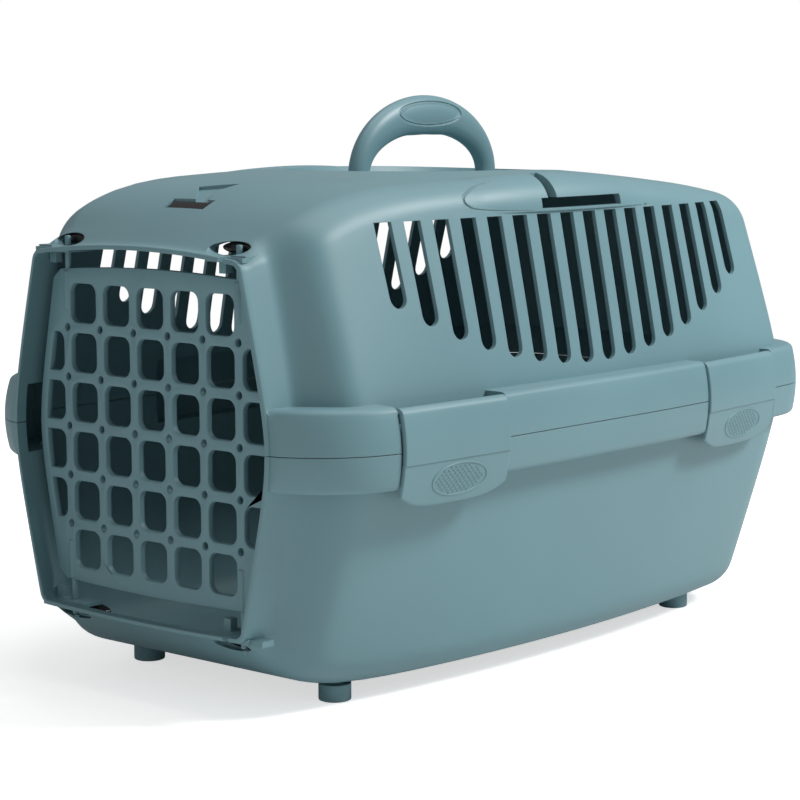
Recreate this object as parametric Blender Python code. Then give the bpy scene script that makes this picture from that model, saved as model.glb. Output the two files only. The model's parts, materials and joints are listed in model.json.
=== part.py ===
"""Pet transport carrier: two plastic shells, a grille door, four side latches and a folding handle.

Metres, +Z up. The door faces -Y and the length runs along Y. The carrier stands on its feet
at Z = 0, and its length and width are centred on X = 0, Y = 0.
"""
import math

import bmesh
import bpy
from mathutils import Matrix, Vector

# ---------------------------------------------------------------- driving dimensions
LENGTH = 0.488            # front of the door rim to the back of the band
ROOF_HEIGHT = 0.294       # highest line of the roof over the floor
SEAM_HEIGHT = 0.1495      # where the two shells meet
BODY_HALF_WIDTH = 0.1395  # widest half width of the cabin, at the seam
WALL = 0.0026             # wall of both shells
SHELL_GAP = 0.0004        # gap between the two shells at the seam

# door rim
RIM_HALF_WIDTH = 0.103
RIM_FLARE = 0.003         # the rim widens by this much up to the valley
RIM_BELOW_ROOF = 0.038
RIM_TOP = ROOF_HEIGHT - RIM_BELOW_ROOF
RIM_BOTTOM = 0.044
RIM_CORNER = 0.008
RIM_SIDE_SLOPE = 0.25
RIM_TOP_CROWN = 0.0045
RIM_BOTTOM_CROWN = 0.0015
SHELF_DEPTH = 0.005       # depth of the rim's level top and bottom

# cabin
BODY_BULGE = 0.007        # how much narrower the cabin is at its ends than at its middle
VALLEY_START = 0.017      # where the side leaves the rim
VALLEY_REACH = 0.014
ROOF_RISE_REACH = 0.0415
BELLY_DROP_REACH = 0.028
BELLY_HEIGHT = 0.010
ROOF_FALL = 0.013         # drop of the roof from its crest to its rear shoulder
ROOF_CREST = 0.220        # the crest's distance behind the door rim
SHOULDER_FROM_REAR = 0.078
ROOF_SHOULDER = LENGTH - SHOULDER_FROM_REAR
SIDE_SLOPE = 0.205
SIDE_SLOPE_ENDS = 0.20    # extra slope towards both ends
SEAM_ROUNDING = 0.024     # softens the side where its slope changes sign
ROOF_CORNER = 0.018
ROOF_CORNER_ENDS = 0.012  # extra corner radius towards both ends
BELLY_CORNER = 0.026
REAR_PLAN_CORNER = 0.046
REAR_EDGE_CORNER = 0.026
ROOF_CROWN = 0.0045

# band around the seam
BAND_HALF_WIDTH = 0.154
BAND_STANDOFF = 0.015     # how far the band stands out behind the cabin
BAND_ABOVE = 0.0245
BAND_BELOW = 0.0205
BAND_START_HALF = 0.1045
BAND_START = 0.0015
BAND_FLARE = 0.021
BAND_TAPER = 0.012        # how much narrower the band is where its rear corners start
BAND_REAR_CORNER = 0.048
BAND_EDGE = 0.003
BAND_BOW = 0.0035         # how much further the band stands out at the seam than at its edges

# vents
VENT_COUNT = 16
VENT_PITCH = 0.02125
VENT_WIDTH = 0.0122
VENT_BELOW_ROOF = 0.0255
VENT_ABOVE_BAND = 0.007
VENT_ARC_SHARE = 0.469     # rise of the arc of lower ends, as a share of the vents' height
VENT_TOP = ROOF_HEIGHT - VENT_BELOW_ROOF
VENT_LOWEST = SEAM_HEIGHT + BAND_ABOVE + VENT_ABOVE_BAND
VENT_ARC_RISE = VENT_ARC_SHARE * (VENT_TOP - VENT_LOWEST)
VENT_HALF_SPAN = (VENT_COUNT - 1) / 2 * VENT_PITCH
VENT_ARC_RADIUS = (VENT_HALF_SPAN ** 2 + VENT_ARC_RISE ** 2) / (2 * VENT_ARC_RISE)

# grille door
DOOR_DEPTH = 0.0125       # front face of the grille behind the rim
DOOR_THICKNESS = 0.004
DOOR_HALF_WIDTH = 0.0940
DOOR_SIDE_SLOPE = 0.215
DOOR_BELOW_RIM = 0.0165
DOOR_ABOVE_RIM = 0.016
DOOR_TOP = RIM_TOP - DOOR_BELOW_RIM
DOOR_BOTTOM = RIM_BOTTOM + DOOR_ABOVE_RIM
DOOR_CROWN = 0.003
DOOR_CORNER = 0.005
GRID_PITCH_X = 0.02766
GRID_COLUMNS = 5
GRID_ROWS = 6
GRID_BORDER_Z = 0.00922     # plain height left above and below the rows, together
GRID_DROP = 0.00025         # the rows' middle below the door's middle
GRID_BAR_Z = 0.00588
GRID_PITCH_Z = (DOOR_TOP - DOOR_BOTTOM - GRID_BORDER_Z) / GRID_ROWS
GRID_MIDDLE = (DOOR_TOP + DOOR_BOTTOM) / 2 - GRID_DROP
GRID_HOLE_X = 0.0215
GRID_HOLE_Z = GRID_PITCH_Z - GRID_BAR_Z
GRID_HOLE_CORNER = 0.0055
GRID_DOT_RADIUS = 0.0022
GRID_EDGE_BAR = 0.0055
KNUCKLE_RADIUS = 0.0031
KNUCKLE_FLOOR = 0.001     # material left below the pin's bore
KNUCKLE_SPARE = 0.0015    # bore left below the pin when it is drawn in
PIN_RADIUS = 0.0018
PIN_CLEARANCE = 0.0004
PIN_RISE = 0.006          # how far a pin stands past the rim's shelf
PIN_IN_KNUCKLE = 0.010
LOCK_TRAVEL = 0.0095      # how far a lock pin is drawn in to free the door

# corners of the rim: inner ledge, opening, tab and post beside each pin
LEDGE_DEPTH = 0.022
LEDGE_HALF_WIDTH = 0.014
OPENING_HALF_WIDTH = 0.0135
OPENING_HALF_HEIGHT = 0.0036
OPENING_OFFSET = 0.005
TAB_START = 0.003         # beside the pin's axis
TAB_REACH = 0.014
LOCK_TAB_REACH = 0.023    # the longer tab below the lock pin
TAB_NEAR = 0.005
TAB_FAR = 0.014
TAB_THICKNESS = 0.0035
POST_OFFSET = 0.0105
POST_HALF = 0.0026
POST_HEIGHT = 0.007

# handle and its recess
HANDLE_OUTER_SPAN = 0.067
HANDLE_INNER_SPAN = 0.052
HANDLE_OUTER_RISE = 0.048
HANDLE_INNER_RISE = 0.025
ARC_BELOW_ROOF = 0.0055
HANDLE_ARC_HEIGHT = ROOF_HEIGHT - ARC_BELOW_ROOF
HANDLE_LEG_HALF = 0.0055
HANDLE_GRIP_HALF = 0.0068
PIVOT_BELOW_ROOF = 0.011
HANDLE_PIVOT_HEIGHT = ROOF_HEIGHT - PIVOT_BELOW_ROOF
HANDLE_BOSS_RADIUS = 0.0060
HANDLE_BOSS_PROUD = 0.0003
HANDLE_PIN_RADIUS = 0.0025
HANDLE_SIDE_GAP = 0.0008
LUG_THICKNESS = 0.007
LUG_HALF_WIDTH = 0.0065
LUG_TOP = 0.0055          # the lug's top above the pivot
RECESS_HALF_LENGTH = 0.100
RECESS_HALF_WIDTH = 0.060
RECESS_DEPTH = 0.0185
RECESS_FLOOR = ROOF_HEIGHT - RECESS_DEPTH
RECESS_SLOPE = 0.012

# strap guides
GUIDE_PAD_PROUD = 0.0024
GUIDE_PAD_SUNK = 0.0005
GUIDE_PAD_HALF_LENGTH = 0.081
GUIDE_PAD_MIDDLE = -0.005
GUIDE_SLOT_LENGTH = 0.077
GUIDE_SLOT_MIDDLE = 0.0045
GUIDE_BELOW_ROOF = 0.0165
GUIDE_SLOT_HEIGHT = 0.006
GUIDE_SLOT_TOP = ROOF_HEIGHT - GUIDE_BELOW_ROOF
GUIDE_SLOT_BOTTOM = GUIDE_SLOT_TOP - GUIDE_SLOT_HEIGHT
GUIDE_CHANNEL_WIDTH = 0.008
GUIDE_CHANNEL_Y = -0.024
GUIDE_DEPTH = 0.016
FRONT_GUIDE_WIDTH = 0.033
FRONT_GUIDE_X = 0.0025
FRONT_GUIDE_NEAR = 0.036
FRONT_GUIDE_FAR = 0.046
FRONT_CHANNEL_X = 0.0105
FRONT_CHANNEL_WIDTH = 0.004
FRONT_CHANNEL_FAR = 0.062

# latches
LATCH_WIDTH = 0.0835
LATCH_SIDE_GAP = 0.0012
LATCH_NEAR = 0.0955       # middle of the front latches behind the door rim
LATCH_FROM_REAR = 0.110   # middle of the rear latches before the back of the band
LATCH_FAR = LENGTH - LATCH_FROM_REAR
LATCH_THICKNESS = 0.0026
LATCH_PROUD = 0.0008
LATCH_TOP = 0.1730
LATCH_STEP = 0.1425
LATCH_BOTTOM = 0.1180
LATCH_BOTTOM_ARC = 0.0075
LATCH_STEP_DEPTH = 0.0007
LATCH_PIVOT_DEPTH = 0.0064
LATCH_PIVOT_HEIGHT = 0.1675
LATCH_BARREL = 0.0028
LATCH_PIN_RADIUS = 0.0012
LATCH_BEAD_HEIGHT = 0.1265
LATCH_BEAD_REACH = 0.0080
LATCH_BEAD_HALF = 0.0022
BEAD_HALF_WIDTH = 0.021
CATCH_CLEARANCE = 0.0006
CATCH_HALF_WIDTH = 0.024
CATCH_HEIGHT = 0.0044
CATCH_RISE = 0.001

# feet
FOOT_X = 0.0764
FOOT_NEAR = 0.0783
FOOT_FROM_REAR = 0.0813
FOOT_FAR = LENGTH - FOOT_FROM_REAR
FOOT_RADIUS = 0.0093
FOOT_SPIGOT_RADIUS = 0.004
FOOT_SPIGOT_LENGTH = 0.006
FIT_GAP = 0.0003

FLAT_ANGLE = 0.003        # faces closer to one plane than this angle are one flat face

FRONT = -LENGTH / 2
BODY_END = LENGTH - BAND_STANDOFF
DOOR_Y = FRONT + DOOR_DEPTH + DOOR_THICKNESS / 2
PIN_X = GRID_PITCH_X * GRID_COLUMNS / 2
KNUCKLE_BORE = PIN_IN_KNUCKLE + LOCK_TRAVEL + KNUCKLE_SPARE


# ---------------------------------------------------------------- collections and materials
def make_collection(name):
    collection = bpy.data.collections.new(name)
    bpy.context.scene.collection.children.link(collection)
    return collection


for item in list(bpy.data.objects):
    bpy.data.objects.remove(item, do_unlink=True)

PARTS = make_collection("pet_transport_carrier")
CUTTERS = make_collection("cutters")


def make_material(name, colour, roughness, metallic=0.0):
    material = bpy.data.materials.new(name)
    material.use_nodes = True
    shader = material.node_tree.nodes["Principled BSDF"]
    shader.inputs["Base Color"].default_value = (*colour, 1.0)
    shader.inputs["Roughness"].default_value = roughness
    shader.inputs["Metallic"].default_value = metallic
    return material


SHELL_PLASTIC = (0.165, 0.300, 0.330)
STEEL = (0.55, 0.55, 0.56)


# ---------------------------------------------------------------- mesh helpers
def object_from_bmesh(name, bm, collection):
    """Every face becomes flat triangles, so each cut sees the same surface."""
    bmesh.ops.recalc_face_normals(bm, faces=bm.faces)
    bmesh.ops.triangulate(bm, faces=bm.faces)
    mesh = bpy.data.meshes.new(name)
    bm.to_mesh(mesh)
    bm.free()
    item = bpy.data.objects.new(name, mesh)
    collection.objects.link(item)
    if collection is CUTTERS:
        item.hide_render = True
        item.display_type = "WIRE"
    return item


def loft(rings, bm=None):
    """A closed solid through rings that all hold the same number of points."""
    bm = bm or bmesh.new()
    rows = [[bm.verts.new(point) for point in ring] for ring in rings]
    count = len(rows[0])
    for near, far in zip(rows, rows[1:]):
        for i in range(count):
            j = (i + 1) % count
            bm.faces.new((near[i], near[j], far[j], far[i]))
    bm.faces.new(rows[0])
    bm.faces.new(rows[-1])
    return bm


def box(name, low, high, collection=None):
    bm = bmesh.new()
    size = Vector(high) - Vector(low)
    middle = (Vector(high) + Vector(low)) / 2
    bmesh.ops.create_cube(bm, size=1.0, matrix=Matrix.Translation(middle) @ Matrix.Diagonal((*size, 1)))
    return object_from_bmesh(name, bm, collection or CUTTERS)


def cylinder(name, start, end, radius, segments=20, collection=None):
    """A round bar between two points."""
    start, end = Vector(start), Vector(end)
    turn = (end - start).to_track_quat("Z", "Y").to_matrix().to_4x4()
    bm = bmesh.new()
    bmesh.ops.create_cone(bm, cap_ends=True, segments=segments, radius1=radius, radius2=radius,
                          depth=(end - start).length, matrix=Matrix.Translation((start + end) / 2) @ turn)
    return object_from_bmesh(name, bm, collection or CUTTERS)


def combine(target, other, operation):
    """Boolean of two objects, applied to the first, which keeps its name."""
    modifier = target.modifiers.new(operation.lower(), "BOOLEAN")
    modifier.operation = operation
    modifier.solver = "EXACT"
    modifier.object = other
    graph = bpy.context.evaluated_depsgraph_get()
    result = bpy.data.meshes.new_from_object(target.evaluated_get(graph))
    target.modifiers.remove(modifier)
    target.data = result
    return target


def cut(target, *cutters):
    for cutter in cutters:
        combine(target, cutter, "DIFFERENCE")


def gather(name, items):
    """One cutter that holds several separate ones, which don't touch each other."""
    bm = bmesh.new()
    for item in items:
        bm.from_mesh(item.data)
    return object_from_bmesh(name, bm, CUTTERS)


def join(target, *others):
    for other in others:
        combine(target, other, "UNION")


def copy_object(source, name, collection):
    item = bpy.data.objects.new(name, source.data.copy())
    item.matrix_world = source.matrix_world
    collection.objects.link(item)
    return item


def merge_flat_faces(mesh):
    """Triangles that lie in one plane become as few as possible."""
    bm = bmesh.new()
    bm.from_mesh(mesh)
    bmesh.ops.dissolve_limit(bm, angle_limit=FLAT_ANGLE, verts=bm.verts, edges=bm.edges)
    bmesh.ops.triangulate(bm, faces=bm.faces)
    bm.to_mesh(mesh)
    bm.free()


def finish_part(item, material, origin=(0, 0, 0)):
    """Put the object's origin on its own reference point and give it its material."""
    merge_flat_faces(item.data)
    shift = Matrix.Translation(-Vector(origin))
    item.data.transform(shift)
    item.location = origin
    item.data.materials.clear()
    item.data.materials.append(material)
    item.data.shade_smooth()
    item.data.set_sharp_from_angle(angle=math.radians(32))
    return item


# ---------------------------------------------------------------- the cabin's shape
def soft_rise(distance, reach, power):
    """0 before the start, 1 far behind it, with a soft S between."""
    return 1 - math.exp(-(distance / reach) ** power) if distance > 0 else 0.0


def end_rounding(t, end, radius):
    """How far a quarter circle at the end has drawn the surface in."""
    over = t - (end - radius)
    if over <= 0:
        return 0.0
    return radius - math.sqrt(max(radius ** 2 - over ** 2, 0.0))


def end_share(t):
    """0 at the middle of the length, 1 at both ends."""
    return ((t - LENGTH / 2) / (LENGTH / 2)) ** 2


def body_half_width(t, inset):
    rim = RIM_HALF_WIDTH + RIM_FLARE * min(max(t, 0) / VALLEY_START, 1)
    cabin = BODY_HALF_WIDTH - BODY_BULGE * end_share(t)
    rise = soft_rise(t - VALLEY_START - 0.75 * inset, VALLEY_REACH, 2.0)
    rear = end_rounding(t, BODY_END - inset, REAR_PLAN_CORNER - inset)
    return rim + (cabin - rim) * rise - inset - rear


def body_top(t, inset):
    crest = ROOF_HEIGHT
    if t > ROOF_CREST:
        crest -= ROOF_FALL * ((t - ROOF_CREST) / (ROOF_SHOULDER - ROOF_CREST)) ** 2
    rise = soft_rise(t - SHELF_DEPTH - 0.75 * inset, ROOF_RISE_REACH, 1.2)
    rear = end_rounding(t, BODY_END - inset, REAR_EDGE_CORNER - inset)
    return RIM_TOP + (crest - RIM_TOP) * rise - inset - rear


def body_bottom(t, inset):
    drop = soft_rise(t - SHELF_DEPTH - 0.75 * inset, BELLY_DROP_REACH, 1.2)
    rear = end_rounding(t, BODY_END - inset, REAR_EDGE_CORNER - inset)
    return RIM_BOTTOM + (BELLY_HEIGHT - RIM_BOTTOM) * drop + inset + rear


def side_slope(t):
    share = soft_rise(t - VALLEY_START, VALLEY_REACH, 2.0)
    cabin = SIDE_SLOPE + SIDE_SLOPE_ENDS * end_share(t)
    return RIM_SIDE_SLOPE + (cabin - RIM_SIDE_SLOPE) * share


def side_x(half_width, slope, rise):
    return half_width - slope * (math.hypot(rise, SEAM_ROUNDING) - SEAM_ROUNDING)


def corner_centre_x(half_width, slope, height, corner):
    """The middle of the corner's arc, which touches the side and the roof."""
    lean = math.atan(slope)
    tangent_rise = height - corner + corner * math.sin(lean)
    return side_x(half_width, slope, tangent_rise) - corner * math.cos(lean)


def quarter_profile(half_width, slope, height, corner, crown, counts):
    """Points from the middle of the roof round the corner to the seam, as (x, rise)."""
    flat_count, corner_count, side_count = counts
    lean = math.atan(slope)
    tangent_rise = height - corner + corner * math.sin(lean)
    centre_x = corner_centre_x(half_width, slope, height, corner)
    points = []
    for i in range(flat_count):
        x = centre_x * i / flat_count
        points.append((x, height + crown * (1 - (x / centre_x) ** 2)))
    for i in range(corner_count):
        angle = math.pi / 2 + (lean - math.pi / 2) * i / corner_count
        points.append((centre_x + corner * math.cos(angle), height - corner + corner * math.sin(angle)))
    for i in range(side_count):
        rise = tangent_rise * (1 - i / side_count)
        points.append((side_x(half_width, slope, rise), rise))
    return points


def cabin_share(t):
    """0 at the rim and 1 where the cabin has its full section."""
    return soft_rise(t - SHELF_DEPTH, VALLEY_REACH * 1.4, 2.0)


def roof_corner_radius(t):
    return RIM_CORNER + (ROOF_CORNER + ROOF_CORNER_ENDS * end_share(t) - RIM_CORNER) * cabin_share(t)


def section(t, inset, counts):
    """The cabin's closed outline at a distance t behind the door rim."""
    half = body_half_width(t, inset)
    slope = side_slope(t)
    share = cabin_share(t)
    roof_corner = roof_corner_radius(t)
    belly_corner = RIM_CORNER + (BELLY_CORNER - RIM_CORNER) * share
    top_crown = RIM_TOP_CROWN + (ROOF_CROWN - RIM_TOP_CROWN) * share
    bottom_crown = RIM_BOTTOM_CROWN * (1 - share)
    top_rise = body_top(t, inset) - top_crown - SEAM_HEIGHT
    bottom_rise = SEAM_HEIGHT - body_bottom(t, inset) - bottom_crown
    upper = quarter_profile(half, slope, top_rise, max(roof_corner - inset, 0.003), top_crown, counts)
    lower = quarter_profile(half, slope, bottom_rise, max(belly_corner - inset, 0.003), bottom_crown, counts)
    right = [(x, SEAM_HEIGHT + rise) for x, rise in upper]
    right.append((half, SEAM_HEIGHT))
    right += [(x, SEAM_HEIGHT - rise) for x, rise in reversed(lower)]
    left = [(-x, z) for x, z in reversed(right[1:-1])]
    return [(x, FRONT + t, z) for x, z in right + left]


def body_stations(inset):
    """Distances behind the rim at which the cabin's sections are taken."""
    near = [0.0, SHELF_DEPTH, VALLEY_START, 0.022, 0.027, 0.033, 0.041, 0.053, 0.070]
    far_start = BODY_END - REAR_PLAN_CORNER
    middle = [0.070 + (far_start - 0.070) * i / 6 for i in range(1, 7)]
    radius = REAR_PLAN_CORNER - inset
    rear = [far_start + radius * math.sin(math.radians(a)) for a in (22, 40, 55, 68, 80)]
    return near + middle + rear


def body_solid(name, inset, counts=(3, 3, 4)):
    rings = [section(t, inset, counts) for t in body_stations(inset)]
    if inset > 0:
        rings[0] = [(x, y - 0.004, z) for x, y, z in rings[0]]
    return object_from_bmesh(name, loft(rings), CUTTERS)


# ---------------------------------------------------------------- the band's shape
def band_half_width(t, inset):
    flare = soft_rise(t - 0.75 * inset, BAND_FLARE, 1.0)
    half = BAND_START_HALF + (BAND_HALF_WIDTH - BAND_START_HALF) * flare
    middle = LENGTH / 2
    if t > middle:
        half -= BAND_TAPER * ((t - middle) / (LENGTH - BAND_REAR_CORNER - middle)) ** 2
    return half - inset - end_rounding(t, LENGTH - inset, BAND_REAR_CORNER - inset)


def band_bow(z):
    """How far the band's face lies inside its widest line at the seam."""
    return BAND_BOW * ((z - SEAM_HEIGHT) / BAND_ABOVE) ** 2


def band_outline(inset, start):
    """The band's closed outline in plan, seen from above."""
    ts = [start, 0.008, 0.016, 0.027, 0.042, 0.062, 0.095, 0.140, 0.190, 0.243, 0.295, 0.345, 0.385]
    corner_start = LENGTH - BAND_REAR_CORNER
    radius = BAND_REAR_CORNER - inset
    ts += [corner_start + radius * math.sin(math.radians(a)) for a in (0, 18, 35, 50, 64, 77, 88)]
    right = [(band_half_width(t, inset), FRONT + t) for t in ts if t >= start]
    return right + [(-x, y) for x, y in reversed(right)]


def band_solid(name, inset, start):
    low = SEAM_HEIGHT - BAND_BELOW + inset
    high = SEAM_HEIGHT + BAND_ABOVE - inset
    edge = BAND_EDGE - inset * 0.9
    rings = []
    for z, draw in ((low, edge), (low + 0.29 * edge, 0.29 * edge), (low + edge, 0),
                    (SEAM_HEIGHT - BAND_BELOW / 2, 0), (SEAM_HEIGHT, 0), (SEAM_HEIGHT + BAND_ABOVE / 2, 0),
                    (high - edge, 0), (high - 0.29 * edge, 0.29 * edge), (high, edge)):
        rings.append([(x, y, z) for x, y in band_outline(inset + draw + band_bow(z), start)])
    return object_from_bmesh(name, loft(rings), CUTTERS)


# ---------------------------------------------------------------- latch places
def latch_frame(t, side):
    """Frame of a latch on the band: X along the band, Y outwards, Z up, on the right or left side."""
    half = LATCH_WIDTH / 2
    near = Vector((band_half_width(t - half, 0), FRONT + t - half, 0))
    far = Vector((band_half_width(t + half, 0), FRONT + t + half, 0))
    along = (far - near).normalized()
    middle = (near + far) / 2
    bow = band_half_width(t, 0) - middle.x
    outward = Vector((along.y, -along.x, 0))
    frame = Matrix((
        (along.x, outward.x, 0, middle.x + bow),
        (along.y, outward.y, 0, middle.y),
        (0, 0, 1, 0),
        (0, 0, 0, 1)))
    if side < 0:
        frame = Matrix.Diagonal((-1, 1, 1, 1)) @ frame
    return frame


LATCH_PLACES = {
    "front_right": (LATCH_NEAR, 1),
    "rear_right": (LATCH_FAR, 1),
    "front_left": (LATCH_NEAR, -1),
    "rear_left": (LATCH_FAR, -1),
}


def placed_box(name, frame, low, high):
    item = box(name, low, high)
    item.data.transform(frame)
    if frame.determinant() < 0:
        item.data.flip_normals()
    return item


def pocket_cutter(name, frame, margin):
    half = LATCH_WIDTH / 2 + LATCH_SIDE_GAP + margin
    depth = BAND_STANDOFF + 0.030
    return placed_box(name, frame, (-half, -depth, SEAM_HEIGHT - 0.05), (half, 0.03, SEAM_HEIGHT + 0.05))


# ---------------------------------------------------------------- shells
def vent_rings(index):
    """One vent through both sides: level at the top, round at the bottom."""
    y = (index - (VENT_COUNT - 1) / 2) * VENT_PITCH
    radius = VENT_WIDTH / 2
    lowest = VENT_LOWEST + VENT_ARC_RADIUS - math.sqrt(VENT_ARC_RADIUS ** 2 - y ** 2)
    outline = [(y + radius, VENT_TOP), (y - radius, VENT_TOP)]
    for i in range(6):
        angle = math.pi + math.pi * i / 5
        outline.append((y + radius * math.cos(angle), lowest + radius + radius * math.sin(angle)))
    reach = BAND_HALF_WIDTH + 0.02
    return [[(x, py, pz) for py, pz in outline] for x in (-reach, reach)]


def vent_cutters():
    """All vents as one cutter of separate bars."""
    bm = bmesh.new()
    for index in range(VENT_COUNT):
        loft(vent_rings(index), bm)
    return object_from_bmesh("vents", bm, CUTTERS)


def recess_solid(name, margin):
    """The oval tray for the folded handle, with sloping sides."""
    floor = RECESS_FLOOR - margin
    rings = []
    for z, spread in ((floor, 0), (ROOF_HEIGHT + 0.01, RECESS_SLOPE)):
        ring = []
        for i in range(28):
            angle = math.tau * i / 28
            ring.append(((RECESS_HALF_WIDTH + margin + spread) * math.cos(angle),
                         (RECESS_HALF_LENGTH + margin + spread) * math.sin(angle), z))
        rings.append(ring)
    return object_from_bmesh(name, loft(rings), CUTTERS)


def guide_pad(side):
    """Lens-shaped raised pad that follows the roof's shoulder and has a level lower edge."""
    rings = []
    for i in range(13):
        share = -1 + 2 * i / 12
        y = GUIDE_PAD_MIDDLE + share * GUIDE_PAD_HALF_LENGTH
        t = y - FRONT
        corner = roof_corner_radius(t)
        rise = body_top(t, 0) - ROOF_CROWN - SEAM_HEIGHT
        x = corner_centre_x(body_half_width(t, 0), side_slope(t), rise, corner)
        z = SEAM_HEIGHT + rise - corner
        radius = corner + (GUIDE_PAD_PROUD + GUIDE_PAD_SUNK) * (1 - share ** 2) - GUIDE_PAD_SUNK
        ring = []
        for k in range(24):
            angle = math.tau * k / 24
            height = max(z + radius * math.sin(angle), GUIDE_SLOT_BOTTOM - 0.0015)
            ring.append((side * (x + radius * math.cos(angle)), y, height))
        rings.append(ring)
    return object_from_bmesh("guide_pad", loft(rings), CUTTERS)


def guide_cutter(side):
    """T-shaped opening: a long slot for the strap and a channel up to the roof."""
    inner = body_half_width(LENGTH / 2, 0) - 0.045
    outer = BAND_HALF_WIDTH
    xs = sorted((side * inner, side * outer))
    near = GUIDE_SLOT_MIDDLE - GUIDE_SLOT_LENGTH / 2
    slot = box("guide_slot", (xs[0], near, GUIDE_SLOT_BOTTOM),
               (xs[1], near + GUIDE_SLOT_LENGTH, GUIDE_SLOT_TOP))
    deep = body_half_width(LENGTH / 2, 0) - 0.020 - GUIDE_DEPTH
    xs = sorted((side * deep, side * (outer - 0.004)))
    half = GUIDE_CHANNEL_WIDTH / 2
    channel = box("guide_channel", (xs[0], GUIDE_CHANNEL_Y - half, GUIDE_SLOT_BOTTOM + 0.001),
                  (xs[1], GUIDE_CHANNEL_Y + half, ROOF_HEIGHT + 0.01))
    join(slot, channel)
    return slot


def front_guide_cutter():
    low, high = RIM_TOP + 0.004, ROOF_HEIGHT + 0.01
    half = FRONT_GUIDE_WIDTH / 2
    slot = box("front_slot", (FRONT_GUIDE_X - half, FRONT + FRONT_GUIDE_NEAR, low),
               (FRONT_GUIDE_X + half, FRONT + FRONT_GUIDE_FAR, high))
    half = FRONT_CHANNEL_WIDTH / 2
    channel = box("front_channel", (FRONT_CHANNEL_X - half, FRONT + FRONT_GUIDE_FAR - 0.002, low),
                  (FRONT_CHANNEL_X + half, FRONT + FRONT_CHANNEL_FAR, high + 0.002))
    join(slot, channel)
    return slot


def rim_level(upper):
    """Height of the rim's outer face at the pins, top or bottom."""
    share = 1 - (PIN_X / (RIM_HALF_WIDTH * 0.75)) ** 2
    if upper:
        return RIM_TOP - RIM_TOP_CROWN * (1 - share)
    return RIM_BOTTOM + RIM_BOTTOM_CROWN * (1 - share)


def pin_opening(side, upper):
    """Lens-shaped opening above the rim, where the pin's end can be seen."""
    rise = OPENING_HALF_HEIGHT + 0.0004
    z = rim_level(upper) + (rise if upper else -rise)
    near, far = FRONT + SHELF_DEPTH - 0.0015, FRONT + LEDGE_DEPTH * 2
    item = cylinder("pin_opening", (0, near, 0), (0, far, 0), 1.0, 16)
    item.data.transform(Matrix.Diagonal((OPENING_HALF_WIDTH, 1, OPENING_HALF_HEIGHT, 1)))
    item.data.transform(Matrix.Translation((side * (PIN_X - OPENING_OFFSET), 0, z)))
    return item


def ledge(side, upper):
    """Inner ledge behind the rim that holds the pin."""
    level = rim_level(upper)
    low, high = (level - WALL, level) if upper else (level, level + WALL)
    x = side * PIN_X
    return box("ledge", (x - LEDGE_HALF_WIDTH, FRONT + SHELF_DEPTH / 2, low),
               (x + LEDGE_HALF_WIDTH, FRONT + LEDGE_DEPTH, high))


def guide_post(side, upper):
    """Square post on the ledge beside each pin."""
    level = rim_level(upper)
    tall = WALL + POST_HEIGHT - 0.001
    low = level - 0.001 - tall if upper else level + 0.001
    x = side * PIN_X - POST_OFFSET
    return box("guide_post", (x - POST_HALF, DOOR_Y - POST_HALF, low),
               (x + POST_HALF, DOOR_Y + POST_HALF, low + tall))


def pin_hole(side, upper):
    """Round hole on the hinge side, a slot open to the front on the locking side."""
    level = rim_level(upper)
    radius = PIN_RADIUS + PIN_CLEARANCE
    outline = []
    for i in range(13):
        angle = math.pi * i / 12
        outline.append((side * PIN_X + radius * math.cos(angle), DOOR_Y + radius * math.sin(angle)))
    if side > 0:
        outline += [(PIN_X - radius, FRONT - 0.005), (PIN_X + radius, FRONT - 0.005)]
    else:
        outline += [(2 * side * PIN_X - x, 2 * DOOR_Y - y) for x, y in outline[1:-1]]
    rings = [[(x, y, z) for x, y in outline] for z in (level - 0.012, level + 0.012)]
    return object_from_bmesh("pin_hole", loft(rings), CUTTERS)


def corner_tab(side, upper):
    """Flat tab that stands out sideways from each corner of the rim."""
    level = rim_level(upper)
    reach = LOCK_TAB_REACH if side > 0 and not upper else TAB_REACH
    xs = sorted((side * (PIN_X + TAB_START), side * (PIN_X + reach)))
    low = level - TAB_THICKNESS + 0.001 if upper else level - 0.001
    return box("corner_tab", (xs[0], FRONT + TAB_NEAR, low), (xs[1], FRONT + TAB_FAR, low + TAB_THICKNESS))


def handle_lug(side):
    inner = HANDLE_OUTER_SPAN + HANDLE_SIDE_GAP
    ys = sorted((side * inner, side * (inner + LUG_THICKNESS)))
    return box("handle_lug", (-LUG_HALF_WIDTH, ys[0], RECESS_FLOOR - 0.001),
               (LUG_HALF_WIDTH, ys[1], HANDLE_PIVOT_HEIGHT + LUG_TOP))


def latch_pin_bore(frame):
    half = LATCH_WIDTH / 2 + 0.006
    start = frame @ Vector((-half, -LATCH_PIVOT_DEPTH, LATCH_PIVOT_HEIGHT))
    end = frame @ Vector((half, -LATCH_PIVOT_DEPTH, LATCH_PIVOT_HEIGHT))
    return cylinder("latch_pin_bore", start, end, LATCH_PIN_RADIUS + FIT_GAP, 12)


def catch_rib(name, frame):
    """Rib on the lower shell, just above the latch's bead; the cabin's hollow trims its inner end."""
    low = LATCH_BEAD_HEIGHT + LATCH_BEAD_HALF + CATCH_RISE
    return placed_box(name, frame, (-CATCH_HALF_WIDTH, -BAND_STANDOFF * 2, low),
                      (CATCH_HALF_WIDTH, -LATCH_BEAD_REACH - CATCH_CLEARANCE, low + CATCH_HEIGHT))


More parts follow.
